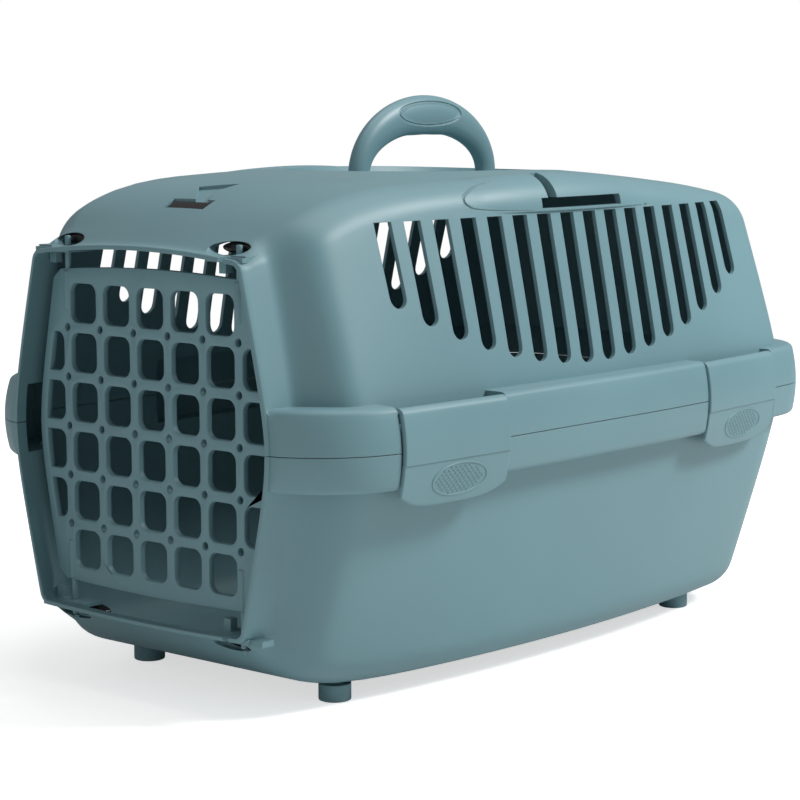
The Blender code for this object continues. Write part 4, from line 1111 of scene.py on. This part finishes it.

# %% [markdown]
# ## Painted shade in the openings
# A glossy near-black dome sits in the lens-shaped opening behind each corner pin, and a near-black bar lies
# in the slot over the door. Both are painted shade: dark fills for the shadowed interior seen through these
# openings.
# A plug is a turned dome pressed flat. The bar follows the roof's slope.

# %% Painted shade: plugs and the slot's bar
PLUG_LENGTH = 0.008
PLUG_GAP = 0.0003
PLUG_BEHIND_PIN = 0.0030
BAR_LOW = 0.264
BAR_NEAR_TOP = 0.2742
BAR_FAR_TOP = 0.2782
BAR_EDGE = 0.0012
BAR_FULL_SHARE = 0.93
PLUG_DOME = ((0, 0.50), (0.0006, 0.78), (0.0016, 0.93), (0.0034, 1.0), (PLUG_LENGTH, 1.0))


# A near-black dome pressed into the lens-shaped opening: painted shade for the dark interior behind it.
def corner_shade_plug(side, upper):
    near = DOOR_Y + PLUG_BEHIND_PIN
    plug = turned("plug", (0, near, 0), (0, near + PLUG_LENGTH, 0), PLUG_DOME, 40)
    flat = Matrix.Diagonal((OPENING_HALF_WIDTH - PLUG_GAP, 1, OPENING_HALF_HEIGHT - PLUG_GAP, 1))
    return place(plug, opening_middle(side, upper) @ flat)


def slot_shade_bar():
    """A near-black bar with bevelled ends, whose top follows the slope of the roof: painted shade in the dark
    slot.
    """
    half = FRONT_GUIDE_WIDTH / 2 - PLUG_GAP
    near = FRONT + FRONT_GUIDE_NEAR + PLUG_GAP
    far = FRONT + FRONT_GUIDE_FAR - PLUG_GAP
    outline = ((near, BAR_LOW), (near, BAR_NEAR_TOP - BAR_EDGE), (near + BAR_EDGE, BAR_NEAR_TOP),
               (far - BAR_EDGE, BAR_FAR_TOP), (far, BAR_FAR_TOP - BAR_EDGE), (far, BAR_LOW))
    rings = []
    for share, draw in ((-1, BAR_EDGE), (-BAR_FULL_SHARE, 0), (BAR_FULL_SHARE, 0), (1, BAR_EDGE)):
        rings.append([(FRONT_GUIDE_X + share * half, y, max(z - draw, BAR_LOW)) for y, z in outline])
    return loft("slot_shade_bar", rings)


# Each shell gets its painted shade fills as one near-black piece.
for upper, body in ((True, "upper_shell"), (False, "lower_shell")):
    shade_fills = [corner_shade_plug(side, upper) for side in (1, -1)]
    if upper:
        shade_fills.append(slot_shade_bar())
    piece = finish_surface(gathered(body + "_painted_shade_fills", shade_fills), PAINTED_SHADE_PLASTIC)
    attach(piece, body)
    print(piece.name, len(piece.data.polygons), "faces")

# %% [markdown]
# ## The grille door
# The door is one flat moulding: a bowed blank with rounded openings in a regular lattice and a
# small hole at every crossing. A Geometry Nodes tree sets rounded blocks on a grid. It runs three
# times, for the full openings, for the outer ones that the edge bar trims, and for the holes.

# %% Openings on a lattice
DOOR_THICKNESS = 0.004
DOOR_HALF_WIDTH = 0.0940
DOOR_SIDE_SLOPE = 0.215
DOOR_TOP = 0.2395
DOOR_BOTTOM = 0.0600
DOOR_CROWN = 0.003
DOOR_BOTTOM_CROWN = DOOR_CROWN * 0.6
DOOR_CORNER = 0.005
DOOR_EDGE = 0.0006
GRID_PITCH_X = 0.02766
GRID_PITCH_Z = 0.02838
GRID_COLUMNS = 5
GRID_ROWS = 6
GRID_HOLE_X = 0.0215
GRID_HOLE_Z = 0.0225
GRID_HOLE_CORNER = 0.0055
GRID_DOT_RADIUS = 0.0022
GRID_EDGE_BAR = 0.0055
OPENING_DEPTH = 0.02
WELD_DISTANCE = 0.00001
FLAT_ANGLE = 1
EDGE_ANGLE = 50


def lattice_tree():
    tree, given, out = new_tree("lattice_openings", {
        "Columns": "Int", "Rows": "Int", "Pitch X": "Float", "Pitch Z": "Float", "Width": "Float",
        "Height": "Float", "Corner": "Float", "Depth": "Float", "Middle": "Vector", "Material": "Material"})
    sizes = given.outputs
    outline = node(tree, "GeometryNodeCurvePrimitiveQuadrilateral", {"Width": sizes["Width"],
                                                                     "Height": sizes["Height"]})
    rounded = node(tree, "GeometryNodeFilletCurve", {"Curve": outline.outputs[0], "Radius": sizes["Corner"],
                                                     "Count": 6}, mode="POLY")
    ends = [node(tree, "ShaderNodeCombineXYZ", {"Z": maths(tree, "MULTIPLY", sizes["Depth"], half)})
            for half in (-0.5, 0.5)]
    path = node(tree, "GeometryNodeCurvePrimitiveLine",
                {"Start": ends[0].outputs[0], "End": ends[1].outputs[0]})
    blocks = node(tree, "GeometryNodeCurveToMesh", {
        "Curve": path.outputs[0], "Profile Curve": rounded.outputs[0], "Fill Caps": True})
    grid = point_grid(tree, sizes, "Pitch X", "Pitch Z")
    copies = node(tree, "GeometryNodeInstanceOnPoints", {"Points": grid,
                                                         "Instance": blocks.outputs[0]})
    real = node(tree, "GeometryNodeRealizeInstances", {"Geometry": copies.outputs[0]})
    upright = node(tree, "GeometryNodeTransform", {"Geometry": real.outputs[0],
                                                   "Translation": sizes["Middle"],
                                                   "Rotation": (math.pi / 2, 0.0, 0.0)})
    return paint_and_end(tree, upright, sizes, out)


LATTICE = lattice_tree()


def lattice_blocks(name, columns, rows, pitch_x, width, height, corner):
    piece = new_object(name, bpy.data.meshes.new(name))
    run_tree(piece, LATTICE, {
        "Columns": columns, "Rows": rows, "Pitch X": pitch_x, "Pitch Z": GRID_PITCH_Z, "Width": width,
        "Height": height, "Corner": corner, "Depth": OPENING_DEPTH, "Middle": (0.0, DOOR_Y, SEAM_HEIGHT),
        "Material": DOOR_PLASTIC})
    bm = bmesh.new()
    bm.from_mesh(piece.data)
    bmesh.ops.remove_doubles(bm, verts=bm.verts, dist=WELD_DISTANCE)
    bpy.data.objects.remove(piece, do_unlink=True)
    print(name, columns * rows, "blocks")
    return mesh_piece(name, bm)


# %% The door blank and its outline
def door_half_width(z):
    return side_x(DOOR_HALF_WIDTH, DOOR_SIDE_SLOPE, z - SEAM_HEIGHT)


def door_outline(inset):
    steps = 12 * DETAIL
    top, bottom = DOOR_TOP - inset, DOOR_BOTTOM + inset
    right = []
    for i in range(steps + 1):
        z = top - DOOR_CORNER + (bottom - top + 2 * DOOR_CORNER) * i / steps
        right.append((door_half_width(z) - inset, z))
    wide_top = door_half_width(top) - inset - DOOR_CORNER
    wide_bottom = door_half_width(bottom) - inset - DOOR_CORNER
    crown_top, crown_bottom = [], []
    for i in range(steps + 1):
        share = -1 + 2 * i / steps
        crown_top.append((share * wide_top, top + DOOR_CROWN * (1 - share ** 2)))
        crown_bottom.append((-share * wide_bottom, bottom - DOOR_BOTTOM_CROWN * (1 - share ** 2)))
    left = [(-x, z) for x, z in reversed(right)]
    return crown_top + right + crown_bottom + left


def slab(name, outline, half_thickness):
    return loft(name, [[(x, DOOR_Y + y, z) for x, z in outline] for y in (-half_thickness, half_thickness)])


# %% Cut and edge the grille
def build_grille():
    grille = slab("grille_moulding", door_outline(0), DOOR_THICKNESS / 2)
    full = lattice_blocks("full_openings", GRID_COLUMNS, GRID_ROWS, GRID_PITCH_X, GRID_HOLE_X, GRID_HOLE_Z,
                          GRID_HOLE_CORNER)
    outer_pitch = GRID_PITCH_X * (GRID_COLUMNS + 1)
    trimmed = lattice_blocks("trimmed_openings", 2, GRID_ROWS - 2, outer_pitch, GRID_HOLE_X, GRID_HOLE_Z,
                             GRID_HOLE_CORNER)
    boolean(trimmed, slab("edge_limit", door_outline(GRID_EDGE_BAR), OPENING_DEPTH), "INTERSECT")
    dot = GRID_DOT_RADIUS * 2
    dots = lattice_blocks("crossing_holes", GRID_COLUMNS + 1, GRID_ROWS - 1, GRID_PITCH_X, dot, dot,
                          GRID_DOT_RADIUS * 0.999)
    boolean(grille, gathered("openings", [full, trimmed, dots]), "DIFFERENCE")
    bm = bmesh.new()
    bm.from_mesh(grille.data)
    bmesh.ops.dissolve_limit(bm, angle_limit=math.radians(FLAT_ANGLE), verts=bm.verts, edges=bm.edges)
    bm.to_mesh(grille.data)
    bm.free()
    bevel = grille.modifiers.new("edges", "BEVEL")
    bevel.width = DOOR_EDGE
    bevel.segments = 2
    bevel.limit_method = "ANGLE"
    bevel.angle_limit = math.radians(EDGE_ANGLE)
    bevel.use_clamp_overlap = False
    apply_modifiers(grille)
    return finish_surface(grille, DOOR_PLASTIC)


grille = build_grille()
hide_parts("door_grille")
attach(grille, "door")
print("grille:", len(grille.data.polygons), "faces")

# %% [markdown]
# ## Knuckles and pins
# A slim round knuckle at each corner of the grille holds a plain pin. The left pair are the
# hinge, and the right pair slide in to free the door.

# %% Knuckles and door pins
KNUCKLE_RADIUS = 0.0031
KNUCKLE_EDGE = 0.0005
PIN_EDGE = 0.0005
KNUCKLE_INSET = 0.001
BORE_START = 0.001
BORE_PAST = 0.01
DOOR_PINS = ("door_pin_top_left", "door_pin_bottom_left",
             "door_lock_pin_top_right", "door_lock_pin_bottom_right")
PIN_BODIES = {"door_lock_pin_top_right": "lock_pin_top", "door_lock_pin_bottom_right": "lock_pin_bottom"}
KNUCKLE_LENGTH = 0.022


def knuckle(pin_name):
    x, _ = plan_middle(*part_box(pin_name))
    if "top" in pin_name:
        start, end = DOOR_TOP - KNUCKLE_INSET - KNUCKLE_LENGTH, DOOR_TOP - KNUCKLE_INSET
    else:
        start, end = DOOR_BOTTOM + KNUCKLE_INSET + KNUCKLE_LENGTH, DOOR_BOTTOM + KNUCKLE_INSET
    piece = rod("knuckle", (x, DOOR_Y, start), (x, DOOR_Y, end), KNUCKLE_RADIUS, KNUCKLE_EDGE, 28)
    ends = [(x, DOOR_Y, z + math.copysign(step, end - start))
            for z, step in ((start, BORE_START), (end, BORE_PAST))]
    boolean(piece, rod("bore", *ends, PIN_RADIUS + FIT_GAP, segments=24), "DIFFERENCE")
    return piece


knuckles = finish_surface(gathered("door_knuckles", [knuckle(name) for name in DOOR_PINS]), DOOR_PLASTIC)
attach(knuckles, "door")
for pin_name in DOOR_PINS:
    low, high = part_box(pin_name)
    x, y = plan_middle(low, high)
    pin = rod(pin_name + "_turned", (x, y, low.z), (x, y, high.z), PIN_RADIUS, PIN_EDGE, 24)
    finish_surface(pin, DOOR_PLASTIC)
    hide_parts(pin_name)
    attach(pin, PIN_BODIES.get(pin_name, "door"))
print("knuckles and pins:", len(DOOR_PINS), "each")

# %% [markdown]
# ## The latches
# A latch is a bowed plate that continues the band. Its top rolls over to meet the shell, a fine
# step divides the cover from the thumb tab, and the tab carries an oval pad of small dashes. The
# dashes are set on staggered rows by a Geometry Nodes tree and laid on the bowed face.

# %% Latch plate
LATCH_THICKNESS = 0.0026
LATCH_PROUD = 0.0008
LATCH_TOP = 0.1730
LATCH_STEP = 0.1425
LATCH_STEP_DEPTH = 0.0007
LATCH_STEP_SOFTNESS = 0.0003
LATCH_BOTTOM = 0.1180
LATCH_BOTTOM_ARC = 0.0075
LATCH_ROLL = 0.0030
LATCH_BARREL = 0.0028
WEB_HALF = LATCH_BARREL * 0.7
BEAD_HALF_WIDTH = 0.021
PLATE_EDGE = 0.0006
ROLL_SHARE = 0.6
BARREL_INSET = 0.0004
BORE_PAST_LATCH = 0.002


def latch_face(z):
    roll = end_rounding(z, LATCH_TOP, LATCH_ROLL) * ROLL_SHARE
    step = LATCH_STEP_DEPTH * min(max((LATCH_STEP - z) / LATCH_STEP_SOFTNESS, 0.0), 1.0)
    return LATCH_PROUD - band_bow(z) - roll - step


def plate_solid():
    """A bowed plate in the latch's own frame, thinned to a round edge along both sides and below."""
    half = LATCH_WIDTH / 2
    columns = 24 * DETAIL
    rings = []
    for i in range(columns + 1):
        share = -math.cos(math.pi * i / columns)
        bottom = LATCH_BOTTOM + LATCH_BOTTOM_ARC * share ** 4
        side_edge = end_rounding(abs(share) * half, half, PLATE_EDGE)
        upper = [LATCH_TOP + (LATCH_STEP - LATCH_TOP) * k / (10 * DETAIL) for k in range(10 * DETAIL)]
        step = [LATCH_STEP, LATCH_STEP - LATCH_STEP_SOFTNESS]
        tab_start = LATCH_STEP - 2 * LATCH_STEP_SOFTNESS
        lip_start = bottom + PLATE_EDGE
        lower = [tab_start + (lip_start - tab_start) * k / (8 * DETAIL) for k in range(8 * DETAIL + 1)]
        lip = [bottom + PLATE_EDGE * EDGE_SHARE, bottom]
        heights = upper + step + lower + lip
        front, back = [], []
        for z in heights:
            lip_edge = end_rounding(lip_start - z, PLATE_EDGE, PLATE_EDGE) if z < lip_start else 0
            front.append((share * half, latch_face(z) - max(side_edge, lip_edge), z))
            back.append((share * half, latch_face(z) - LATCH_THICKNESS, z))
        rings.append(front + back[::-1])
    return loft("plate", rings)


# %% Thumb pad dashes
PAD_MIDDLE_X = 0.0026
PAD_MIDDLE_Z = 0.1312
PAD_HALF_WIDTH = 0.0215
PAD_HALF_HEIGHT = 0.0088
PAD_RIM = 0.0007
DASH_PITCH = 0.0036
DASH_ROW = 0.0017
DASH_HALF_LENGTH = 0.0013
DASH_HALF_HEIGHT = 0.00045
DASH_PROUD = 0.0006
DASH_COLUMNS = 13
DASH_ROWS = 11
FIELD_HALF_WIDTH = PAD_HALF_WIDTH * 0.86
FIELD_HALF_HEIGHT = PAD_HALF_HEIGHT * 0.84
PAD_RIM_SUNK = PAD_RIM * 0.3


def dash_tree():
    tree, given, out = new_tree("thumb_pad_dashes", {
        "Columns": "Int", "Rows": "Int", "Pitch": "Float", "Row": "Float", "Half Width": "Float",
        "Half Height": "Float", "Dash Size": "Vector", "Material": "Material"})
    sizes = given.outputs
    grid = point_grid(tree, sizes, "Pitch", "Row")
    split = node(tree, "ShaderNodeSeparateXYZ", {0: node(tree, "GeometryNodeInputPosition").outputs[0]})
    row_number = maths(tree, "ROUND", maths(tree, "DIVIDE", split.outputs["Y"], sizes["Row"]))
    stagger = maths(tree, "MULTIPLY", maths(tree, "FLOORED_MODULO", row_number, 2.0),
                    maths(tree, "MULTIPLY", sizes["Pitch"], 0.5))
    shift = node(tree, "ShaderNodeCombineXYZ", {"X": stagger})
    staggered = node(tree, "GeometryNodeSetPosition", {"Geometry": grid, "Offset": shift.outputs[0]})
    across = maths(tree, "DIVIDE", split.outputs["X"], sizes["Half Width"])
    up = maths(tree, "DIVIDE", split.outputs["Y"], sizes["Half Height"])
    reach = maths(tree, "ADD", maths(tree, "MULTIPLY", across, across), maths(tree, "MULTIPLY", up, up))
    inside = node(tree, "FunctionNodeCompare", {"A": reach, "B": 1.0},
                  data_type="FLOAT", operation="LESS_THAN")
    ball = node(tree, "GeometryNodeMeshUVSphere", {"Segments": 10, "Rings": 6, "Radius": 1.0})
    copies = node(tree, "GeometryNodeInstanceOnPoints", {
        "Points": staggered.outputs[0], "Selection": inside.outputs[0], "Instance": ball.outputs[0],
        "Scale": sizes["Dash Size"]})
    real = node(tree, "GeometryNodeRealizeInstances", {"Geometry": copies.outputs[0]})
    return paint_and_end(tree, real, sizes, out)


DASHES = dash_tree()


def lay_on_tab(point_x, point_z, height):
    """A point of the flat pattern laid on the tab's bowed face."""
    z = PAD_MIDDLE_Z + point_z
    return Vector((PAD_MIDDLE_X + point_x, latch_face(z) + height, z))


def thumb_pad():
    """The dashes and the raised rim round them, in the latch's own frame."""
    dashes = new_object("dashes", bpy.data.meshes.new("dashes"))
    run_tree(dashes, DASHES, {
        "Columns": DASH_COLUMNS, "Rows": DASH_ROWS, "Pitch": DASH_PITCH, "Row": DASH_ROW,
        "Half Width": FIELD_HALF_WIDTH, "Half Height": FIELD_HALF_HEIGHT,
        "Dash Size": (DASH_HALF_LENGTH, DASH_HALF_HEIGHT, DASH_PROUD),
        "Material": LATCH_PLASTIC})
    for vertex in dashes.data.vertices:
        flat = vertex.co.copy()
        vertex.co = lay_on_tab(flat.x, flat.y, flat.z)
    path = [lay_on_tab(PAD_HALF_WIDTH * math.cos(turn), PAD_HALF_HEIGHT * math.sin(turn), -PAD_RIM_SUNK)
            for turn in turns(48 * DETAIL)]
    rim = bar_along("pad_rim", path, Vector((0, 1, 0)), [PAD_RIM] * len(path), closed=True)
    return gathered("thumb_pad", [dashes, rim])


# %% Latches in their places
def build_latch(latch_place):
    """The plate, with its barrel and web on the pin, its bead inside, and the pin's bore."""
    half = LATCH_WIDTH / 2 - BARREL_INSET
    past = half + BORE_PAST_LATCH
    pivot = (-LATCH_PIVOT_DEPTH, LATCH_PIVOT_HEIGHT)
    plate = plate_solid()
    boolean(plate, rod("barrel", (-half, *pivot), (half, *pivot), LATCH_BARREL, segments=28), "UNION")
    for name, half_width, back, middle, half_height in (
            ("web", half, -LATCH_PIVOT_DEPTH, LATCH_PIVOT_HEIGHT, WEB_HALF),
            ("bead", BEAD_HALF_WIDTH, -BEAD_REACH, BEAD_HEIGHT, BEAD_HALF)):
        front = latch_face(middle) - LATCH_THICKNESS / 2
        boolean(plate, block(name, (-half_width, back, middle - half_height),
                             (half_width, front, middle + half_height)), "UNION")
    bore = rod("bore", (-past, *pivot), (past, *pivot), LATCH_PIN_RADIUS + FIT_GAP, segments=20)
    boolean(plate, bore, "DIFFERENCE")
    return place(plate, latch_place)


for latch_name, latch_place in LATCH_FRAMES.items():
    latch = build_latch(latch_place)
    latch.name = f"latch_{latch_name}_plate"
    finish_surface(latch, LATCH_PLASTIC)
    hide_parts("latch_" + latch_name)
    pad = place(thumb_pad(), latch_place)
    pad.name = f"latch_{latch_name}_thumb_pad"
    finish_surface(pad, LATCH_PLASTIC)
    for piece in (latch, pad):
        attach(piece, "latch_" + latch_name)
    print(latch.name, len(latch.data.polygons), "faces; pad", len(pad.data.polygons))

# %% [markdown]
# ## The carrying handle
# The bail is a round bar bent into an arch. It swells at the grip, where both broad faces carry an
# oval facet and the inner side a shallow belly for the fingers. It ends in two bosses.

# %% Handle
HANDLE_INNER_SPAN = 0.052
HANDLE_OUTER_RISE = 0.048
HANDLE_INNER_RISE = 0.025
HANDLE_ARC_HEIGHT = 0.2885
HANDLE_LEG_HALF = 0.0055
HANDLE_GRIP_HALF = 0.0068
HANDLE_BOSS_RADIUS = 0.0060
HANDLE_BOSS_PROUD = 0.0003
GRIP_BELLY = 0.0012
GRIP_BELLY_REACH = 0.015
FACET_MIDDLE_Z = 0.3252
FACET_HALF_LENGTH = 0.0285
FACET_HALF_HEIGHT = 0.0072
FACET_DEPTH = 0.0007
FACET_GROOVE = 0.0007
FACET_SOFTNESS = 0.10
BOSS_EDGE = 0.0004
BOSS_BORE_START = 0.002
BOSS_BORE_PAST = 0.01


def handle_ring(angle, drop=0.0):
    along, up = math.cos(angle), math.sin(angle)
    outer_point = Vector((0, HANDLE_OUTER_SPAN * along, HANDLE_ARC_HEIGHT + HANDLE_OUTER_RISE * up))
    inner_y = HANDLE_INNER_SPAN * along
    belly = GRIP_BELLY * math.exp(-(inner_y / GRIP_BELLY_REACH) ** 4)
    inner_point = Vector((0, inner_y, HANDLE_ARC_HEIGHT + HANDLE_INNER_RISE * up - belly))
    middle = (outer_point + inner_point) / 2
    radial = (outer_point - inner_point) / 2
    thickness = HANDLE_LEG_HALF + (HANDLE_GRIP_HALF - HANDLE_LEG_HALF) * up ** 2
    ring = []
    for turn in turns(36 * DETAIL):
        point = middle + radial * math.cos(turn) + Vector((thickness * math.sin(turn), 0, -drop))
        reach = math.hypot(point.y / FACET_HALF_LENGTH, (point.z - FACET_MIDDLE_Z) / FACET_HALF_HEIGHT)
        if reach < 1:
            point.x -= math.copysign(FACET_DEPTH * min((1 - reach) / FACET_SOFTNESS, 1.0), point.x)
        ring.append(point)
    return ring


def grip_groove(handle, side):
    path = [on_surface(handle, side, FACET_HALF_LENGTH * math.cos(turn),
                       FACET_MIDDLE_Z + FACET_HALF_HEIGHT * math.sin(turn)) for turn in turns(40 * DETAIL)]
    return bar_along("grip_groove", path, Vector((side, 0, 0)), [FACET_GROOVE] * len(path), closed=True)


def build_handle():
    drop = HANDLE_ARC_HEIGHT - HANDLE_PIVOT_HEIGHT
    steps = 60 * DETAIL
    rings = [handle_ring(0, drop)]
    rings += [handle_ring(math.pi * i / steps) for i in range(steps + 1)]
    rings.append(handle_ring(math.pi, drop))
    handle = loft("bail_handle", rings)
    for side in (1, -1):
        near = side * (HANDLE_INNER_SPAN - HANDLE_BOSS_PROUD)
        far = side * (HANDLE_OUTER_SPAN + HANDLE_BOSS_PROUD)
        boss = rod("boss", (0, near, HANDLE_PIVOT_HEIGHT), (0, far, HANDLE_PIVOT_HEIGHT), HANDLE_BOSS_RADIUS,
                   BOSS_EDGE, 40)
        boolean(handle, boss, "UNION")
        bore = rod("bore", (0, near + side * BOSS_BORE_START, HANDLE_PIVOT_HEIGHT),
                   (0, far + side * BOSS_BORE_PAST, HANDLE_PIVOT_HEIGHT),
                   HANDLE_PIN_RADIUS + FIT_GAP, segments=28)
        boolean(handle, bore, "DIFFERENCE")
    bpy.context.view_layer.update()
    boolean(handle, gathered("grooves", [grip_groove(handle, side) for side in (1, -1)]), "DIFFERENCE")
    return finish_surface(handle, HANDLE_PLASTIC, 40)


handle = build_handle()
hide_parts("carry_handle")
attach(handle, "handle")
print("handle:", len(handle.data.polygons), "faces")

# %% [markdown]
# ## Feet, and the pins that stay as they are
# Each foot is a short turned plug with a broken edge below. The small wire pins of the latches
# and the handle keep their CAD shape, since they are plain rods, and only take the steel finish.

# %% Feet and wire pins
FOOT_EDGE = 0.0009
SHOULDER_STEP = 0.00001
for end_name in ("front", "rear"):
    for side_name in ("left", "right"):
        cad_name = f"foot_{end_name}_{side_name}"
        low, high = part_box(cad_name)
        x, y = plan_middle(low, high)
        radius = (high.x - low.x) / 2
        shoulder = BELLY_HEIGHT - FIT_GAP
        profile = broken_edge(radius, FOOT_EDGE)
        profile += [(shoulder, radius), (shoulder + SHOULDER_STEP, FOOT_SPIGOT_RADIUS),
                    (high.z, FOOT_SPIGOT_RADIUS)]
        foot = turned(cad_name + "_turned", (x, y, low.z), (x, y, high.z), profile, 48)
        finish_surface(foot, FOOT_PLASTIC)
        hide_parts(cad_name)
        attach(foot, "lower_shell")
for cad_name, item in frame["nodes"].items():
    if cad_name.startswith(("latch_pin", "handle_pin")):
        item.data.materials.clear()
        item.data.materials.append(WIRE)
print("feet: 4, wire pins: 6")

# %% [markdown]
# ## Floor, light and camera
# A pale floor and a white surround stand in for a studio sweep. A soft key from the right rear
# lights the long side and the roof and leaves the door in half shade. A wide top light softens the
# roof, and a weak fill from the front keeps the lattice readable.

# %% Floor and surround
AMBIENT = 0.26
FLOOR_GLOW = 0.62
bm = bmesh.new()
bmesh.ops.create_grid(bm, x_segments=1, y_segments=1, size=1.6)
floor = mesh_piece("floor", bm)
paper, paper_tree, paper_shader = new_material("paper_floor")
paper_shader.inputs["Base Color"].default_value = (0.88, 0.88, 0.87, 1)
paper_shader.inputs["Roughness"].default_value = 0.9
paper_shader.inputs["Emission Color"].default_value = (1, 1, 1, 1)
glow = node(paper_tree, "ShaderNodeLightPath").outputs["Is Camera Ray"]
lift = maths(paper_tree, "MULTIPLY", glow, FLOOR_GLOW)
paper_tree.links.new(lift, paper_shader.inputs["Emission Strength"])
floor.data.materials.append(paper)

world = bpy.data.worlds.new("white_surround")
world.use_nodes = True
sky = world.node_tree
background = sky.nodes["Background"]
background.inputs["Color"].default_value = (1, 1, 1, 1)
seen = node(sky, "ShaderNodeLightPath").outputs["Is Camera Ray"]
sky.links.new(spread(sky, seen, AMBIENT, 1.0), background.inputs["Strength"])
bpy.context.scene.world = world


# %% Lights
def soft_light(name, place_at, aim_at, width, watts):
    data = bpy.data.lights.new(name, "AREA")
    data.size = width
    data.energy = watts
    lamp = new_object(name, data)
    lamp.location = place_at
    lamp.rotation_mode = "QUATERNION"
    lamp.rotation_quaternion = (Vector(aim_at) - Vector(place_at)).to_track_quat("-Z", "Y")


soft_light("key", (1.7, 1.2, 1.9), (0, 0, 0.15), 0.6, 55)
soft_light("top", (0.2, 0.2, 2.4), (0, 0, 0.2), 1.6, 17)
soft_light("fill", (0.4, -2.4, 0.9), (0, -0.2, 0.15), 1.2, 4)

# %% Camera
CAMERA_PLACE = Vector((0.98813, FRONT - 0.89596, 0.34010))
CAMERA_AZIMUTH = math.radians(41.500)
CAMERA_PITCH = math.radians(7.29)
CAMERA_ROLL = math.radians(-0.23)
CAMERA_LENS = 109.3
forward = Vector((-math.sin(CAMERA_AZIMUTH) * math.cos(CAMERA_PITCH),
                  math.cos(CAMERA_AZIMUTH) * math.cos(CAMERA_PITCH), -math.sin(CAMERA_PITCH)))
camera_data = bpy.data.cameras.new("camera")
camera_data.lens = CAMERA_LENS
camera_data.clip_start = 0.01
camera = new_object("camera", camera_data)
camera.location = CAMERA_PLACE
camera.rotation_mode = "QUATERNION"
level = Vector((math.cos(CAMERA_AZIMUTH), math.sin(CAMERA_AZIMUTH), 0))
upright = level.cross(forward)
right = level * math.cos(CAMERA_ROLL) + upright * math.sin(CAMERA_ROLL)
above = upright * math.cos(CAMERA_ROLL) - level * math.sin(CAMERA_ROLL)
camera.rotation_quaternion = Matrix((right, above, -forward)).transposed().to_quaternion()
bpy.context.scene.camera = camera
bpy.context.scene.view_settings.view_transform = "Standard"
